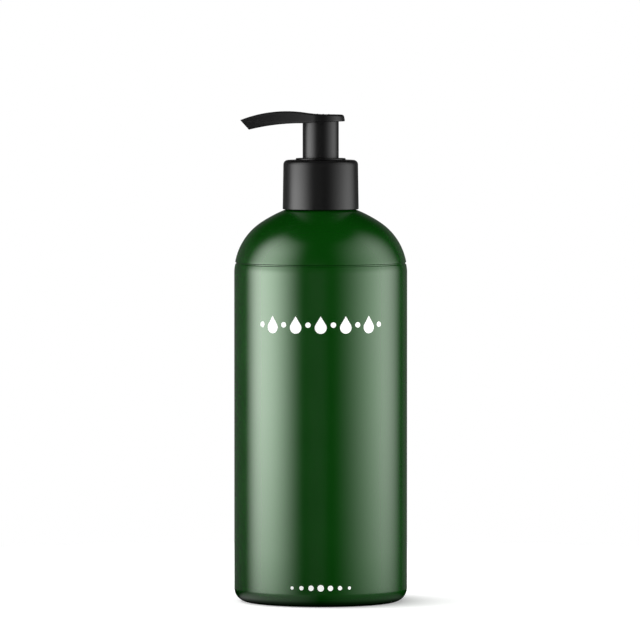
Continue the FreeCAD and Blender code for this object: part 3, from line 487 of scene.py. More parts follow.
def moulded_skin():
    """The surface of moulded plastic: slow colour drift, uneven gloss, fine grain and slight waves."""
    name = "moulded_skin"
    if name in bpy.data.node_groups:
        return bpy.data.node_groups[name]
    tree = bpy.data.node_groups.new(name, "ShaderNodeTree")
    for socket, side, kind in (
        ("Color", "INPUT", "NodeSocketColor"),
        ("Roughness", "INPUT", "NodeSocketFloat"),
        ("Drift", "INPUT", "NodeSocketFloat"),
        ("Uneven", "INPUT", "NodeSocketFloat"),
        ("Grain", "INPUT", "NodeSocketFloat"),
        ("Waves", "INPUT", "NodeSocketFloat"),
        ("Color", "OUTPUT", "NodeSocketColor"),
        ("Roughness", "OUTPUT", "NodeSocketFloat"),
        ("Normal", "OUTPUT", "NodeSocketVector"),
    ):
        tree.interface.new_socket(name=socket, in_out=side, socket_type=kind)
    given = tree.nodes.new("NodeGroupInput").outputs
    place = place_in(tree)
    clouds = map_range(tree, noise(tree, place, 28.0, 3.0), NOISE_RANGE, (-1.0, 1.0))
    drift = maths(tree, "MULTIPLY", clouds, given["Drift"])
    level = maths(tree, "ADD", drift, 1.0)
    patches = map_range(tree, noise(tree, place, 55.0, 4.0), NOISE_RANGE, (-1.0, 1.0))
    uneven = maths(tree, "MULTIPLY", patches, given["Uneven"])
    waves = new_node(tree, "Bump", {
        "Distance": 0.2 * MM,
        "Strength": given["Waves"],
        "Height": noise(tree, place, 120.0, 1.0),
    })
    grain = new_node(tree, "Bump", {
        "Distance": 0.02 * MM,
        "Strength": given["Grain"],
        "Height": noise(tree, place, 2600.0, 2.0),
        "Normal": waves.outputs["Normal"],
    })
    feed(tree, tree.nodes.new("NodeGroupOutput"), {
        "Color": vector_maths(tree, "SCALE", "Vector", {0: given["Color"], "Scale": level}),
        "Roughness": maths(tree, "ADD", uneven, given["Roughness"]),
        "Normal": grain.outputs["Normal"],
    })
    return tree


def new_material(name):
    """An empty node material, with its tree and its Principled shader."""
    material = bpy.data.materials.new(name)
    material.use_nodes = True
    return material, material.node_tree, material.node_tree.nodes["Principled BSDF"]


def skin_material(name, colour, skin_values, shader_values):
    """A material whose Principled shader is fed by the moulded skin, each with values of its own."""
    material, tree, shader = new_material(name)
    names = ("Roughness", "Drift", "Uneven", "Grain", "Waves")
    skin = new_node(tree, "Group", {}, node_tree=moulded_skin())
    feed(tree, skin, {"Color": (*colour, 1.0), **dict(zip(names, skin_values))})
    feed(tree, shader, {
        "Base Color": skin.outputs["Color"],
        "Roughness": skin.outputs["Roughness"],
        "Normal": skin.outputs["Normal"],
        **shader_values,
    })
    return material


def satin_green():
    """Satin, deep green blown plastic, with painted shade that darkens its colour towards the foot."""
    finish = bpy.context.scene.soap_finishes
    material = skin_material("satin_green", finish.green, (finish.green_gloss, 0.05, 0.015, 0.04, 0.02), {
        "IOR": 1.5,
        "Specular Tint": (0.84, 1.0, 0.84, 1.0),
    })
    tree = material.node_tree
    # Painted shade: the base colour is darkened over the lowest 8 mm, down to 0.15 at the ground, where the
    # foot meets the floor.
    levels = ((0.0, 0.15), (1.6 * MM, 0.4), (2.8 * MM, 0.85), (8 * MM, 1.0))
    painted_foot_shade = level_ramp(tree, axes_of(tree, place_in(tree))["Z"], levels)
    shader = tree.nodes["Principled BSDF"]
    plain = shader.inputs["Base Color"].links[0].from_socket
    feed(tree, shader, {"Base Color": vector_maths(tree, "MULTIPLY", "Vector", {0: plain, 1: painted_foot_shade})})
    return material


def satin_black():
    """Satin black moulded plastic."""
    finish = bpy.context.scene.soap_finishes
    return skin_material("satin_black", finish.black, (finish.black_gloss, 0.08, 0.03, 0.1, 0.02), {
        "IOR": 1.49,
        "Specular IOR Level": 0.2,
    })


def screen_white():
    """White screen ink with a faint mesh texture, and a faint white glow that paints extra light on it."""
    finish = bpy.context.scene.soap_finishes
    return skin_material("screen_white", finish.ink, (0.42, 0.01, 0.03, 0.15, 0.0), {
        # Painted light: the ink glows faintly white, although it is no lamp.
        "Emission Color": WHITE,
        "Emission Strength": 0.2,
    })


def milky_plastic():
    """Undyed plastic, slightly see-through at its edges."""
    finish = bpy.context.scene.soap_finishes
    return skin_material("milky_plastic", finish.milky, (0.38, 0.03, 0.04, 0.08, 0.03), {
        "Subsurface Weight": 0.25,
        "Subsurface Radius": (1.0, 1.0, 1.0),
        "Subsurface Scale": 1.2 * MM,
    })


def matt_seal():
    """Soft matt sealing plastic."""
    finish = bpy.context.scene.soap_finishes
    return skin_material("matt_seal", finish.seal, (0.62, 0.05, 0.06, 0.2, 0.05), {})


def bright_steel():
    """Drawn or ground stainless steel."""
    finish = bpy.context.scene.soap_finishes
    return skin_material("bright_steel", finish.steel, (0.22, 0.04, 0.08, 0.12, 0.0), {"Metallic": 1.0})


def material_of(maker):
    """The material that a function makes, made once."""
    return bpy.data.materials.get(maker.__name__) or maker()


def dress(piece, maker, body, node):
    """Finishes a piece, rides it on its body and lets it stand for its node."""
    piece.data.materials.clear()
    piece.data.materials.append(material_of(maker))
    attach(piece, body)
    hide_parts(node)


def bottle_outline(sizes):
    """The bottle's half section, from the middle of its base outside to the middle inside."""
    wall = sizes.wall
    neck_top = BOTTLE_HIGH.z
    side_centre = (sizes.radius - sizes.side_radius, sizes.wall_top)
    turn = sizes.side_angle
    top_centre = on_circle(side_centre, sizes.side_radius - sizes.top_radius, turn)
    corner_centre = (sizes.radius - sizes.corner, sizes.corner)
    ring_inside = corner_centre[0] - sizes.ring
    foot_of_cone = ring_inside - sizes.push_up

    seam_turn = math.asin((sizes.seam_height - sizes.wall_top) / sizes.side_radius)
    lip_turn = (sizes.seam_width / 2 + sizes.seam_lip) / sizes.side_radius
    drawn_in, bottom = sizes.side_radius - sizes.seam_ease, sizes.side_radius - sizes.seam_depth
    lip_round, bottom_round = sizes.seam_lip * 0.85, sizes.seam_width * 0.3
    groove = []
    for reach, part, *rounding in (
        (drawn_in, -1),
        (drawn_in, -0.45, lip_round),
        (bottom, -0.4, bottom_round),
        (bottom, 0.4, bottom_round),
        (sizes.side_radius, 0.45, lip_round),
        (sizes.side_radius, 1),
    ):
        groove.append((*on_circle(side_centre, reach, seam_turn + lip_turn * part), *rounding))

    neck_root = sizes.neck_radius + wall
    neck_turn = math.acos((neck_root - top_centre[0]) / sizes.top_radius)
    bore_turn = math.acos((sizes.neck_bore - top_centre[0]) / (sizes.top_radius - wall))
    dome_top = top_centre[1] + sizes.top_radius * math.sin(neck_turn)
    outline = [(0, sizes.push_up)]
    outline += rounded([
        (foot_of_cone - 6 * MM, sizes.push_up),
        (foot_of_cone, sizes.push_up, 1.0 * MM),
        (ring_inside, 0, 0.6 * MM),
        (corner_centre[0], 0),
    ])
    outline += arc(corner_centre, sizes.corner, -math.pi / 2, 0, 14)[1:]
    straight = sizes.wall_top - sizes.corner
    wall_steps, draw_steps = 8, 12
    for step in range(1, wall_steps):
        outline.append((sizes.radius, sizes.corner + straight * step / wall_steps))
    for step in range(draw_steps):
        reach = sizes.side_radius - sizes.seam_ease * (step / draw_steps) ** 2
        outline.append(on_circle(side_centre, reach, (seam_turn - lip_turn) * step / draw_steps))
    outline += rounded(groove)
    outline += arc(side_centre, sizes.side_radius, seam_turn + lip_turn, turn, 18)[1:]
    outline += arc(top_centre, sizes.top_radius, turn, neck_turn, 20)[1:]
    outline += rounded([
        outline[-1],
        (sizes.neck_radius, dome_top + wall, 0.6 * MM),
        (sizes.neck_radius, neck_top, sizes.neck_edge),
        (sizes.neck_bore, neck_top, sizes.neck_edge),
        (sizes.neck_bore, top_centre[1] + (sizes.top_radius - wall) * math.sin(bore_turn)),
    ])[1:]
    outline += arc(top_centre, sizes.top_radius - wall, bore_turn, turn, 16)[1:]
    outline += arc(side_centre, sizes.side_radius - wall, turn, 0, 14)[1:]
    outline += arc(corner_centre, sizes.corner - wall, 0, -math.pi / 2, 8)
    outline += [
        (ring_inside + wall / 2, wall),
        (foot_of_cone + wall / 2, sizes.push_up + wall),
        (0, sizes.push_up + wall),
    ]
    return outline


class SOAP_OT_bottle(bpy.types.Operator):
    """Turns the blown bottle with its seam groove and adds the neck's thread"""

    bl_idname = "soap.bottle"
    bl_label = "Bottle"

    def execute(self, context):
        sizes, thread = context.scene.soap_bottle, context.scene.soap_thread
        bottle = turn_outline("bottle_shell", bottle_outline(sizes), TURN_STEPS, closed=False)
        start = BOTTLE_HIGH.z - thread.drop - thread.pitch * thread.turns
        crest = sizes.neck_radius + thread.depth
        ridge = thread_ridge("neck_thread", thread, sizes.neck_radius - sizes.wall / 4, crest, start)
        combine(bottle, ridge, "UNION")
        soften(bottle, 30.0)
        dress(bottle, satin_green, "bottle", "bottle")
        return {"FINISHED"}


def drop_outline(sizes, count):
    """The outline of a drop round its middle, point up, as (along, up) points."""
    radius, half = sizes.drop_radius, sizes.drop_height / 2
    steps = 6
    centre = radius - half
    lean = math.asin(radius / (half - centre))
    round_part = arc((0, centre), radius, math.pi - lean, 2 * math.pi + lean, count - 2 * steps - 1)
    right, left = round_part[-1], round_part[0]
    flank = []
    for step in range(1, steps + 1):
        flank.append((right[0] * (1 - step / steps), right[1] + (half - right[1]) * step / steps))
    other = [(left[0] * step / steps, half + (left[1] - half) * step / steps) for step in range(1, steps)]
    return round_part + flank + other


def dot_outline(radius, count):
    """The outline of a round dot, as (along, up) points."""
    return arc((0, 0), radius, 0, 2 * math.pi, count)[:-1]


def print_mark(outline, along, height, sizes):
    """One printed mark: an outline filled finely, thickened to the ink and wrapped on the wall."""
    wall = BOTTLE_HIGH.x
    start_alone()
    bpy.ops.mesh.primitive_circle_add(vertices=len(outline), radius=1.0, fill_type="TRIFAN")
    mark = bpy.context.object
    bpy.ops.object.mode_set(mode="EDIT")
    mesh = bmesh.from_edit_mesh(mark.data)
    rim = sorted((vertex for vertex in mesh.verts if vertex.is_boundary), key=lambda vertex: vertex.index)
    for vertex, (across, up) in zip(rim, outline):
        vertex.co = (across, 0, up)
    for vertex in mesh.verts:
        if not vertex.is_boundary:
            vertex.co = (0, 0, sum(up for across, up in outline) / len(outline))
    bmesh.update_edit_mesh(mark.data)
    bpy.ops.mesh.select_all(action="SELECT")
    bpy.ops.mesh.subdivide(number_cuts=3)
    bpy.ops.mesh.extrude_region_move(TRANSFORM_OT_translate={"value": (0, -sizes.ink, 0)})
    bpy.ops.object.mode_set(mode="OBJECT")
    for vertex in mark.data.vertices:
        turn = (along + vertex.co.x) / wall
        reach = wall - vertex.co.y
        up = vertex.co.z
        vertex.co = (reach * math.sin(turn), -reach * math.cos(turn), height + up)
    return mark


class SOAP_OT_print(bpy.types.Operator):
    """Prints the drops, dots and foot dots on the bottle's front"""

    bl_idname = "soap.print"
    bl_label = "Printed marks"

    def execute(self, context):
        sizes = context.scene.soap_print
        height = PRINT_HIGH.z - sizes.drop_height / 2
        points = 48
        drop = drop_outline(sizes, points)
        marks = []
        for place in range(-2 * sizes.each_side - 1, 2 * sizes.each_side + 2):
            outline = drop if place % 2 == 0 else dot_outline(sizes.dot, points)
            marks.append(print_mark(outline, place * sizes.pitch / 2, height, sizes))
        for place in range(-sizes.foot_each_side, sizes.foot_each_side + 1):
            outline = dot_outline(sizes.foot_dot - abs(place) * sizes.foot_step, points)
            marks.append(print_mark(outline, place * sizes.foot_pitch, sizes.foot_height, sizes))
        printed = marks[0]
        choose(printed)
        for mark in marks:
            mark.select_set(True)
        bpy.ops.object.join()
        printed.name = printed.data.name = "printed_marks"
        settle(printed)
        face_outwards(printed)
        soften(printed, 40.0)
        dress(printed, screen_white, "bottle", "front_print")
        return {"FINISHED"}


class SOAP_OT_collar(bpy.types.Operator):
    """Turns the smooth screw collar and adds its inner thread"""

    bl_idname = "soap.collar"
    bl_label = "Collar"

    def execute(self, context):
        sizes, thread = context.scene.soap_closure, context.scene.soap_thread
        neck_radius = context.scene.soap_bottle.neck_radius
        bore = neck_radius + thread.depth + thread.gap
        rim, top = COLLAR_LOW.z, COLLAR_HIGH.z
        collar = turn_outline("collar_cap", rounded([
            (bore + sizes.lead, rim, 0.15 * MM),
            (COLLAR_HIGH.x, rim, sizes.rim_round),
            (sizes.top_radius, top, sizes.top_round),
            (sizes.hole, top, 0.2 * MM),
            (sizes.hole, top - sizes.web, 0.1 * MM),
            (bore, top - sizes.web, 0.4 * MM),
            (bore, rim + sizes.lead, 0.1 * MM),
        ], 9), TURN_STEPS)
        start = BOTTLE_HIGH.z - thread.drop - thread.pitch * thread.turns
        middle = start - (thread.root + thread.crest) / 2 - thread.play
        crest = neck_radius + thread.gap
        ridge = thread_ridge("collar_thread", thread, bore + sizes.lead / 4, crest, middle)
        combine(collar, ridge, "UNION")
        soften(collar, 30.0)
        dress(collar, satin_black, "collar", "closure_collar")
        return {"FINISHED"}


class SOAP_OT_retainer(bpy.types.Operator):
    """Turns the retainer ring with its snap bead"""

    bl_idname = "soap.retainer"
    bl_label = "Retainer ring"

    def execute(self, context):
        sizes = context.scene.soap_closure
        foot, top = RETAINER_LOW.z, RETAINER_HIGH.z
        under = top - sizes.disc
        snap = under - sizes.snap_drop
        retainer = turn_outline("retainer_collar", rounded([
            (sizes.bore, foot, 0.2 * MM),
            (sizes.barrel, foot, 0.2 * MM),
            (sizes.barrel, snap - sizes.snap_height / 2, 0.1 * MM),
            (sizes.barrel + sizes.snap_reach, snap, 0.2 * MM),
            (sizes.barrel, snap + sizes.snap_height / 2, 0.1 * MM),
            (sizes.barrel, under, 0.15 * MM),
            (RETAINER_HIGH.x, under, 0.2 * MM),
            (RETAINER_HIGH.x, top, 0.3 * MM),
            (sizes.bore, top, 0.2 * MM),
        ]), TURN_STEPS)
        soften(retainer, 30.0)
        dress(retainer, satin_black, "pump", "retainer_ring")
        return {"FINISHED"}


class HeadForm:
    """The pump head's back, underside and flanks, as heights and widths along X."""

    MOUTH_STEPS = 5
    FLANK_STEPS = 48
    ROUND_STEPS = 56
    UNDER_STEPS = 4
    SIDE_STEPS = 6
    BACK_STEPS = 7
    FLANK_PASSES = 6
    ROUND_PASSES = 4

    def __init__(self, sizes):
        self.sizes = sizes
        self.top = HEAD_HIGH.z
        self.rest = self.top - sizes.rise
        self.widest = self.rest - sizes.thickness
        self.radius = HEAD_HIGH.x
        self.lip = -HEAD_LOW.x
        self.back_centre = self.top - sizes.back_radius
        run = sizes.apex - sizes.hollow
        dip = self.back_arc(-sizes.hollow) - self.rest
        slope = run / sizes.back_radius
        self.dip_radius = dip / (1 - math.sqrt(1 - slope ** 2))
        self.rest_start = -sizes.hollow + self.dip_radius * slope
        start = sizes.flank_angle
        self.flank_start = Vector((-self.radius * math.sin(start), self.radius * math.cos(start)))
        tip = Vector((-self.lip - sizes.lip_back, sizes.tip_half))
        chord = tip - self.flank_start
        rise = math.sqrt(sizes.flank_radius ** 2 - chord.length_squared / 4)
        middle = (tip + self.flank_start) / 2
        self.flank_centre = middle + Vector((chord.y, -chord.x)).normalized() * rise
        self.mouth = (-self.lip + sizes.lip_back, self.under(-self.lip + sizes.lip_back))
        self.lip_top = (-self.lip, self.back(-self.lip))

    def back_arc(self, x):
        """Height of the spout's back arc."""
        return self.back_centre + math.sqrt(self.sizes.back_radius ** 2 - (x + self.sizes.apex) ** 2)

    def back(self, x):
        """Height of the upper surface."""
        if x < -self.sizes.hollow:
            return self.back_arc(x)
        if x < self.rest_start:
            return self.rest + self.dip_radius - math.sqrt(self.dip_radius ** 2 - (x - self.rest_start) ** 2)
        return self.rest

    def under(self, x):
        """Height of the lower surface."""
        skirt, drop, radius = self.sizes.skirt, self.sizes.under_drop, self.sizes.under_radius
        if x > -skirt:
            return self.widest + drop * min(0.0, x / skirt)
        return self.widest - drop - radius + math.sqrt(radius ** 2 - (x + skirt) ** 2)

    def flank(self, x):
        """Half width of the spout at its widest level."""
        return self.flank_centre.y - math.sqrt(self.sizes.flank_radius ** 2 - (x - self.flank_centre.x) ** 2)

    def end(self, z):
        """Where the slanted mouth face lies at a height."""
        (mouth_x, mouth_z), (lip_x, lip_z) = self.mouth, self.lip_top
        return mouth_x + (lip_x - mouth_x) * (z - mouth_z) / (lip_z - mouth_z)

    def narrowing(self, z):
        """How far the drafted sides lie inside the widest outline at a height."""
        return math.tan(self.sizes.draft) * abs(z - self.widest)

    def rings(self):
        """The rings from the underside up: each one's kind, its part of the height and its turn."""
        draft, up = self.sizes.draft, math.pi / 2
        rings = []
        for step in range(self.UNDER_STEPS + 1):
            rings.append(("under", 0.0, up + (draft - up) * step / self.UNDER_STEPS))
        for step in range(1, self.SIDE_STEPS):
            rings.append(("side", step / self.SIDE_STEPS, 0.0))
        for step in range(self.BACK_STEPS + 1):
            rings.append(("back", 1.0, draft + (up - draft) * step / self.BACK_STEPS))
        return rings

    def level(self, ring, x):
        """Height and inset of a ring at a place along the head."""
        kind, part, turn = ring
        draft = self.sizes.draft
        swell = 1 + self.sizes.end_swell * max(0.0, x / self.radius)
        low_round, high_round = self.sizes.under_round, self.sizes.top_round * swell
        if kind == "side":
            low = self.under(x) + low_round * (1 - math.sin(draft))
            high = self.back(x) - high_round * (1 - math.sin(draft))
            z = low + (high - low) * part
            return z, self.narrowing(z)
        if kind == "under":
            rounding, centre, way = low_round, self.under(x) + low_round, -1
        else:
            rounding, centre, way = high_round, self.back(x) - high_round, 1
        inset = self.narrowing(centre) + rounding / math.cos(draft) - rounding * math.cos(turn)
        return centre + way * rounding * math.sin(turn), inset

    def point(self, ring, column):
        """The point of a ring in a column. A column is on the mouth face, on a flank or on the round."""
        kind, part, side = column
        if kind == "round":
            x = -self.radius * math.sin(part)
            for _ in range(self.ROUND_PASSES):
                z, inset = self.level(ring, x)
                x = -(self.radius - inset) * math.sin(part)
            return x, side * (self.radius - inset) * math.cos(part), z
        along = 1.0 if kind == "mouth" else part
        lean = self.sizes.flank_angle * (1 - along)
        start = self.flank_start.x
        x = start + (-self.lip - start) * along
        for _ in range(self.FLANK_PASSES):
            z, inset = self.level(ring, x)
            plain = start + (self.end(z) - start) * along
            x = plain + inset * math.sin(lean)
        half = self.flank(plain) - inset * math.cos(lean)
        return x, side * half * (part if kind == "mouth" else 1.0), z

    def columns(self):
        """The columns once round the head, from the middle of the mouth by the left flank."""
        start, back = self.sizes.flank_angle, -math.pi / 2
        half = [("mouth", step / self.MOUTH_STEPS) for step in range(1, self.MOUTH_STEPS)]
        half += [("flank", 1 - step / self.FLANK_STEPS) for step in range(self.FLANK_STEPS)]
        for step in range(self.ROUND_STEPS):
            half.append(("round", start + (back - start) * step / self.ROUND_STEPS))
        left = [(kind, part, 1) for kind, part in half]
        right = [(kind, part, -1) for kind, part in reversed(half)]
        return [("mouth", 0.0, 1)] + left + [("round", back, 1)] + right


def head_blank(form):
    """The solid head before its skirt, socket and channel: rings round its plan, closed across."""
    columns = form.columns()
    mesh, rings = skin_rings([[form.point(ring, column) for column in columns] for ring in form.rings()])
    tip, count = form.MOUTH_STEPS, len(columns)
    for ring in (rings[0], rings[-1]):
        mesh.faces.new(ring[-tip:] + ring[:tip + 1])
        for index in range(tip, count // 2):
            strip = [ring[index], ring[index + 1], ring[count - index - 1], ring[count - index]]
            mesh.faces.new(list(dict.fromkeys(strip)))
    return mesh_piece("pump_head", mesh)


def spout_channel(form):
    """The curved bore from above the stem to past the mouth."""
    sizes = form.sizes
    sweep = sizes.back_radius - sizes.channel_depth
    behind = math.asin(sizes.apex / sweep)
    ahead = math.asin((form.lip + sizes.thickness - sizes.apex) / sweep)
    start_alone()
    centre = Vector((-sizes.apex, 0, form.back_centre))
    place = centre + sweep * Vector((math.sin(behind), 0, math.cos(behind)))
    turned = (0, math.pi / 2 + behind, 0)
    bpy.ops.mesh.primitive_circle_add(
        vertices=40, radius=sizes.channel, fill_type="NGON", location=place, rotation=turned
    )
    channel = bpy.context.object
    settle(channel)
    bpy.ops.object.mode_set(mode="EDIT")
    bpy.ops.mesh.select_all(action="SELECT")
    bpy.ops.mesh.spin(steps=48, angle=behind + ahead, center=centre, axis=(0, 1, 0))
    bpy.ops.object.mode_set(mode="OBJECT")
    face_outwards(channel)
    return channel


def rest_rib(form, x):
    """One of the thumb rest's ribs, a rounded bar across it."""
    sizes = form.sizes
    z = form.back(x) + sizes.rib_rise - sizes.rib
    rib = cylinder(32, sizes.rib, 2 * sizes.rib_half, (x, 0, z), (math.pi / 2, 0, 0))
    ends = rib.modifiers.new("round_ends", "BEVEL")
    ends.width = sizes.rib * 0.9
    ends.segments = ROUND_STEPS
    ends.angle_limit = math.radians(60)
    bpy.ops.object.modifier_apply(modifier=ends.name)
    return rib


class SOAP_OT_head(bpy.types.Operator):
    """Moulds the pump head: rest, spout, ribs, skirt, stem socket and soap channel"""

    bl_idname = "soap.head"
    bl_label = "Pump head"

    def execute(self, context):
        sizes = context.scene.soap_head
        form = HeadForm(sizes)
        head = head_blank(form)
        sweep = sizes.back_radius - sizes.channel_depth
        channel_top = form.back_centre + math.sqrt(sweep ** 2 - sizes.apex ** 2)
        socket_top = channel_top - sizes.channel - sizes.thickness
        sunk = form.widest + sizes.thickness / 2
        inner = sizes.skirt - sizes.skirt_wall
        roof = form.widest - sizes.roof
        foot = socket_top - sizes.socket_depth
        skirt = turn_outline("skirt", [(0, socket_top)] + rounded([
            (sizes.socket, socket_top),
            (sizes.socket, foot, 0.3 * MM),
            (sizes.hub, foot, 0.3 * MM),
            (sizes.hub, roof, 0.4 * MM),
            (inner, roof, 0.4 * MM),
            (inner, HEAD_LOW.z, 0.2 * MM),
            (sizes.skirt, HEAD_LOW.z, 0.3 * MM),
            (sizes.skirt, sunk),
        ]) + [(0, sunk)], SMALL_TURN_STEPS, closed=False)
        combine(head, skirt, "UNION")
        for index in range(sizes.ribs):
            combine(head, rest_rib(form, index * sizes.rib_pitch - sizes.rib_place), "UNION")
        combine(head, spout_channel(form), "DIFFERENCE")
        bottom = socket_top - sizes.rib
        middle = (channel_top + bottom) / 2
        combine(head, cylinder(48, sizes.riser, channel_top - bottom, (0, 0, middle)), "DIFFERENCE")
        soften(head)
        dress(head, satin_black, "head", "actuator_head")
        return {"FINISHED"}


class SOAP_OT_spring(bpy.types.Operator):
    """Winds the return spring with closed ends"""

    bl_idname = "soap.spring"
    bl_label = "Return spring"

    def execute(self, context):
        sizes = context.scene.soap_spring
        wire_radius = sizes.wire / 2
        radius = SPRING_HIGH.x - wire_radius
        low, high = SPRING_LOW.z + wire_radius, SPRING_HIGH.z - wire_radius
        steps_a_turn, around, wire_gap = 48, 12, 1.04
        steps = round(sizes.turns * steps_a_turn)
        closed_rise = sizes.closed * sizes.wire * wire_gap
        sections = []
        for step in range(steps + 1):
            turned = step / steps_a_turn
            if turned < sizes.closed:
                height = low + closed_rise * turned / sizes.closed
            elif turned > sizes.turns - sizes.closed:
                height = high - closed_rise * (sizes.turns - turned) / sizes.closed
            else:
                part = (turned - sizes.closed) / (sizes.turns - 2 * sizes.closed)
                height = low + closed_rise + (high - low - 2 * closed_rise) * part
            turn = 2 * math.pi * turned
            ring = []
            for corner in range(around):
                lean = 2 * math.pi * corner / around
                reach, z = on_circle((radius, height), wire_radius, lean)
                ring.append((reach * math.cos(turn), reach * math.sin(turn), z))
            sections.append(ring)
        spring = join_sections("spring_coil", sections)
        soften(spring, 50.0)
        dress(spring, bright_steel, "pump", "return_spring")
        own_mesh(spring)
        return {"FINISHED"}


class SOAP_OT_inside(bpy.types.Operator):
    """Finishes the pump's inner pieces, which keep their own form"""

    bl_idname = "soap.inside"
    bl_label = "Inner pieces"

    def execute(self, context):
        finishes = {
            "pump_housing": milky_plastic,
            "piston_stem": milky_plastic,
            "piston_core": milky_plastic,
            "dip_tube": milky_plastic,
            "neck_gasket": matt_seal,
            "piston_seal": matt_seal,
            "inlet_ball": bright_steel,
            "outlet_ball": bright_steel,
        }
        for node, maker in finishes.items():
            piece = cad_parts[node]
            piece.data.materials.clear()
            piece.data.materials.append(material_of(maker))
            soften(piece)
        return {"FINISHED"}


def ground_material(name, grey):
    """A dull ground that glows white: the material, its tree and its shader."""
    material, tree, shader = new_material(name)
    feed(tree, shader, {
        "Base Color": (grey, grey, grey, 1.0),
        "Roughness": 1.0,
        "Specular IOR Level": 0.0,
        "Emission Color": WHITE,
    })
    return material, tree, shader


def floor_material():
    """White ground that keeps a soft shadow from the lamps, deepened by a painted shadow where its
    camera-only glow is weaker close to the object, and fades to the plain white behind it.
    """
    material, tree, shader = ground_material("studio_ground", 0.8)
    # Painted shadow: the glow that the camera sees is dimmest around the object's foot, centred 6 mm to its
    # right, and rises outwards.
    reach = vector_maths(tree, "DISTANCE", "Value", {0: place_in(tree), 1: (6 * MM, 0.0, 0.0)})
    glow_with_painted_shadow = level_ramp(tree, reach, (
        (0.027, 0.2), (0.031, 0.3), (0.035, 0.41), (0.04, 0.52), (0.045, 0.6), (0.05, 0.65), (0.07, 0.7),
        (0.13, 0.8), (0.2, 0.8), (0.3, 0.55),
    ))
    seen = maths(tree, "MULTIPLY", glow_with_painted_shadow, rays(tree)["Is Camera Ray"])
    feed(tree, shader, {"Emission Strength": seen})
    return material


def near_ground_material():
    """The ground close to the object as gloss shows it: lit beside the panels, dark in front, and darkened
    by painted shade under and just around the object's foot.
    """
    material, tree, shader = ground_material("near_ground", 0.0)
    place = place_in(tree)
    axes = axes_of(tree, vector_maths(tree, "NORMALIZE", "Vector", {0: place}))
    left, right, ahead = (
        maths(tree, "MAXIMUM", maths(tree, "MULTIPLY", axes[axis], weight), 0.0)
        for axis, weight in (("X", -1.9), ("X", 0.6), ("Y", -1.0))
    )
    lit = maths(tree, "MULTIPLY", maths(tree, "ADD", left, right), ahead)
    distance = vector_maths(tree, "LENGTH", "Value", {0: place})
    # Painted shade: the glow fades to nothing under and just around the foot, where the ground would lie in
    # shadow.
    clear = level_ramp(tree, distance, ((0.032, 0.0), (0.0335, 0.15), (0.0355, 0.8), (0.038, 1.0)))
    feed(tree, shader, {"Emission Strength": maths(tree, "MULTIPLY", lit, clear)})
    return material


def panel_material(name, glow, rise, power, fall):
    """A light panel that rises and falls in brightness between angles, and fades to its top."""
    material = bpy.data.materials.new(name)
    material.use_nodes = True
    tree = material.node_tree
    tree.nodes.clear()
    axes = axes_of(tree, place_in(tree))
    aside = maths(tree, "ABSOLUTE", axes["X"], 0.0)
    turn = maths(tree, "ARCTAN2", aside, maths(tree, "MULTIPLY", axes["Y"], -1.0))
    rising, falling = (
        map_range(tree, turn, (math.radians(dark), math.radians(full)), easing="SMOOTHSTEP")
        for dark, full in (rise, fall)
    )
    across = maths(tree, "MULTIPLY", maths(tree, "POWER", rising, power), falling)
    upright = level_ramp(tree, axes["Z"], (
        (-0.2, 0.2), (-0.05, 0.4), (-0.02, 0.55), (0.003, 0.72), (0.032, 0.87), (0.07, 1.0), (0.17, 1.0),
        (0.23, 0.6), (0.42, 0.56), (0.52, 0.44), (0.64, 0.3), (0.85, 0.1), (1.0, 0.0),
    ))
    both = maths(tree, "MULTIPLY", across, upright)
    backside = tree.nodes.new("ShaderNodeNewGeometry").outputs["Backfacing"]
    shown = maths(tree, "MULTIPLY", both, maths(tree, "SUBTRACT", 1.0, backside))
    emission = new_node(tree, "Emission", {"Strength": maths(tree, "MULTIPLY", shown, glow)})
    new_node(tree, "OutputMaterial", {"Surface": emission.outputs["Emission"]})
    return material


def show_stage_piece(piece, name, material, unseen):
    """Names and finishes a piece of the stage, and hides it from some kinds of ray."""
    piece.name = piece.data.name = name
    piece.data.materials.append(material)
    for ray in unseen:
        setattr(piece, "visible_" + ray, False)


def round_ground(radius):
    """A flat disc on the ground."""
    start_alone()
    bpy.ops.mesh.primitive_circle_add(vertices=96, radius=radius, fill_type="NGON")
    return bpy.context.object


def light_panel(name, settings, side, material, first, last):
    """A curved panel that stands beside the object, as a strip of a wide cylinder."""
    start_alone()
    bpy.ops.mesh.primitive_cylinder_add(
        vertices=180, radius=settings.panel_radius, depth=1.2, end_fill_type="NOTHING", location=(0, 0, 0.4)
    )
    panel = bpy.context.object
    settle(panel)
    bpy.ops.object.mode_set(mode="EDIT")
    mesh = bmesh.from_edit_mesh(panel.data)
    for face in mesh.faces:
        middle = face.calc_center_median()
        turn = math.degrees(math.atan2(side * middle.x, -middle.y))
        face.select_set(not first < turn < last)
    bmesh.update_edit_mesh(panel.data)
    bpy.ops.mesh.delete(type="FACE")
    bpy.ops.mesh.select_all(action="SELECT")
    bpy.ops.mesh.flip_normals()
    bpy.ops.object.mode_set(mode="OBJECT")
    show_stage_piece(panel, name, material, ("camera", "diffuse", "shadow"))


def soft_lamp(name, power, size, azimuth, height, distance):
    """A large soft lamp that looks at the object's middle, and that gloss doesn't show."""
    lamp = bpy.data.objects.new(name, bpy.data.lights.new(name, "AREA"))
    bpy.context.scene.collection.objects.link(lamp)
    lamp.data.shape = "DISK"
    lamp.data.size = size
    lamp.data.energy = power
    turn, rise = math.radians(azimuth), math.radians(height)
    toward = Vector((math.sin(turn) * math.cos(rise), -math.cos(turn) * math.cos(rise), math.sin(rise)))
    lamp.location = Vector((0, 0, 0.08)) + toward * distance
    lamp.rotation_euler = toward.to_track_quat("Z", "Y").to_euler()
    lamp.visible_glossy = False


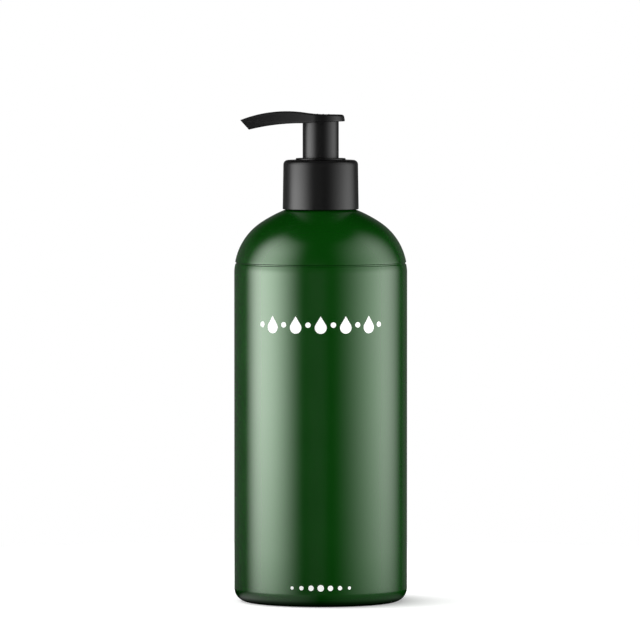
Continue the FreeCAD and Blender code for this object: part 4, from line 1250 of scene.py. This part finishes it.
def set_world(settings):
    """Plain white for the camera and for glass, a dim horizon for gloss, and an even light from above."""
    world = bpy.data.worlds.new("studio_world")
    bpy.context.scene.world = world
    world.use_nodes = True
    tree = world.node_tree
    kinds = rays(tree)
    height = axes_of(tree, place_in(tree, "Generated"))["Z"]
    rim = (math.sin(math.radians(35)), math.sin(math.radians(8)))
    horizon = map_range(tree, height, rim, (0.0, 0.11), "SMOOTHSTEP")
    gloss = maths(tree, "MULTIPLY", horizon, kinds["Is Glossy Ray"])
    clear = maths(tree, "MAXIMUM", kinds["Is Camera Ray"], kinds["Is Transmission Ray"])
    dull = maths(tree, "SUBTRACT", 1.0, kinds["Is Glossy Ray"])
    above = maths(tree, "MULTIPLY", dull, maths(tree, "GREATER_THAN", height, 0.0))
    even = maths(tree, "MULTIPLY", above, settings.fill)
    strength = maths(tree, "MAXIMUM", maths(tree, "MAXIMUM", gloss, clear), even)
    feed(tree, tree.nodes["Background"], {"Color": WHITE, "Strength": strength})


class SOAP_OT_stage(bpy.types.Operator):
    """Sets the ground, the light panels, the lamps, the world and the camera"""

    bl_idname = "soap.stage"
    bl_label = "Stage"

    def execute(self, context):
        settings = context.scene.soap_stage
        floor = round_ground(settings.floor)
        show_stage_piece(floor, "studio_floor", floor_material(), ("diffuse", "glossy"))
        near = round_ground(settings.near)
        show_stage_piece(near, "near_ground", near_ground_material(), ("camera", "diffuse", "shadow"))
        left = panel_material("left_glow", settings.left_glow, (20, 74), 1.0, (116, 80))
        light_panel("left_panel", settings, -1, left, 18, 118)
        right = panel_material("right_glow", settings.right_glow, (10, 92), 1.2, (131, 83))
        light_panel("right_panel", settings, 1, right, 8, 136)
        soft_lamp("key_lamp", settings.key, 0.7, -92, 50, 0.9)
        soft_lamp("side_lamp", settings.side, 0.6, 78, 12, 0.9)
        soft_lamp("front_lamp", settings.front, 0.6, -4, 3, 1.2)
        set_world(settings)
        camera = bpy.data.objects.new("camera", bpy.data.cameras.new("camera"))
        context.scene.collection.objects.link(camera)
        camera.data.lens = settings.lens
        camera.data.clip_end = 20.0
        back = Vector((0, -math.cos(settings.pitch), math.sin(settings.pitch)))
        camera.location = Vector((settings.shift, 0, settings.aim)) + back * settings.distance
        camera.rotation_euler = (math.pi / 2 - settings.pitch, 0, 0)
        context.scene.camera = camera
        context.scene.view_settings.view_transform = "Standard"
        return {"FINISHED"}


class SOAP_PT_panel(bpy.types.Panel):
    """The sidebar tab that lists the steps"""

    bl_idname = "SOAP_PT_panel"
    bl_label = "Soap bottle"
    bl_space_type = "VIEW_3D"
    bl_region_type = "UI"
    bl_category = "Soap bottle"

    def draw(self, context):
        for operator in OPERATORS:
            self.layout.operator(operator.bl_idname)
        for setting in SETTINGS:
            group = getattr(context.scene, setting)
            box = self.layout.box()
            for name in group.__annotations__:
                box.prop(group, name, text=name.replace("_", " ").capitalize())


OPERATORS = (
    SOAP_OT_bottle,
    SOAP_OT_print,
    SOAP_OT_collar,
    SOAP_OT_retainer,
    SOAP_OT_head,
    SOAP_OT_spring,
    SOAP_OT_inside,
    SOAP_OT_stage,
)
SETTINGS = {
    "soap_bottle": BottleSizes,
    "soap_thread": ThreadSizes,
    "soap_closure": ClosureSizes,
    "soap_head": HeadSizes,
    "soap_spring": SpringSizes,
    "soap_print": PrintSizes,
    "soap_finishes": Finishes,
    "soap_stage": StageSettings,
}


def register():
    for setting, group in SETTINGS.items():
        bpy.utils.register_class(group)
        setattr(bpy.types.Scene, setting, bpy.props.PointerProperty(type=group))
    for operator in OPERATORS:
        bpy.utils.register_class(operator)
    bpy.utils.register_class(SOAP_PT_panel)


def unregister():
    bpy.utils.unregister_class(SOAP_PT_panel)
    for operator in reversed(OPERATORS):
        bpy.utils.unregister_class(operator)
    for setting, group in SETTINGS.items():
        delattr(bpy.types.Scene, setting)
        bpy.utils.unregister_class(group)


def main():
    register()
    bpy.ops.soap.bottle()
    bpy.ops.soap.print()
    bpy.ops.soap.collar()
    bpy.ops.soap.retainer()
    bpy.ops.soap.head()
    bpy.ops.soap.spring()
    bpy.ops.soap.inside()
    bpy.ops.soap.stage()


if __name__ == "__main__":
    main()
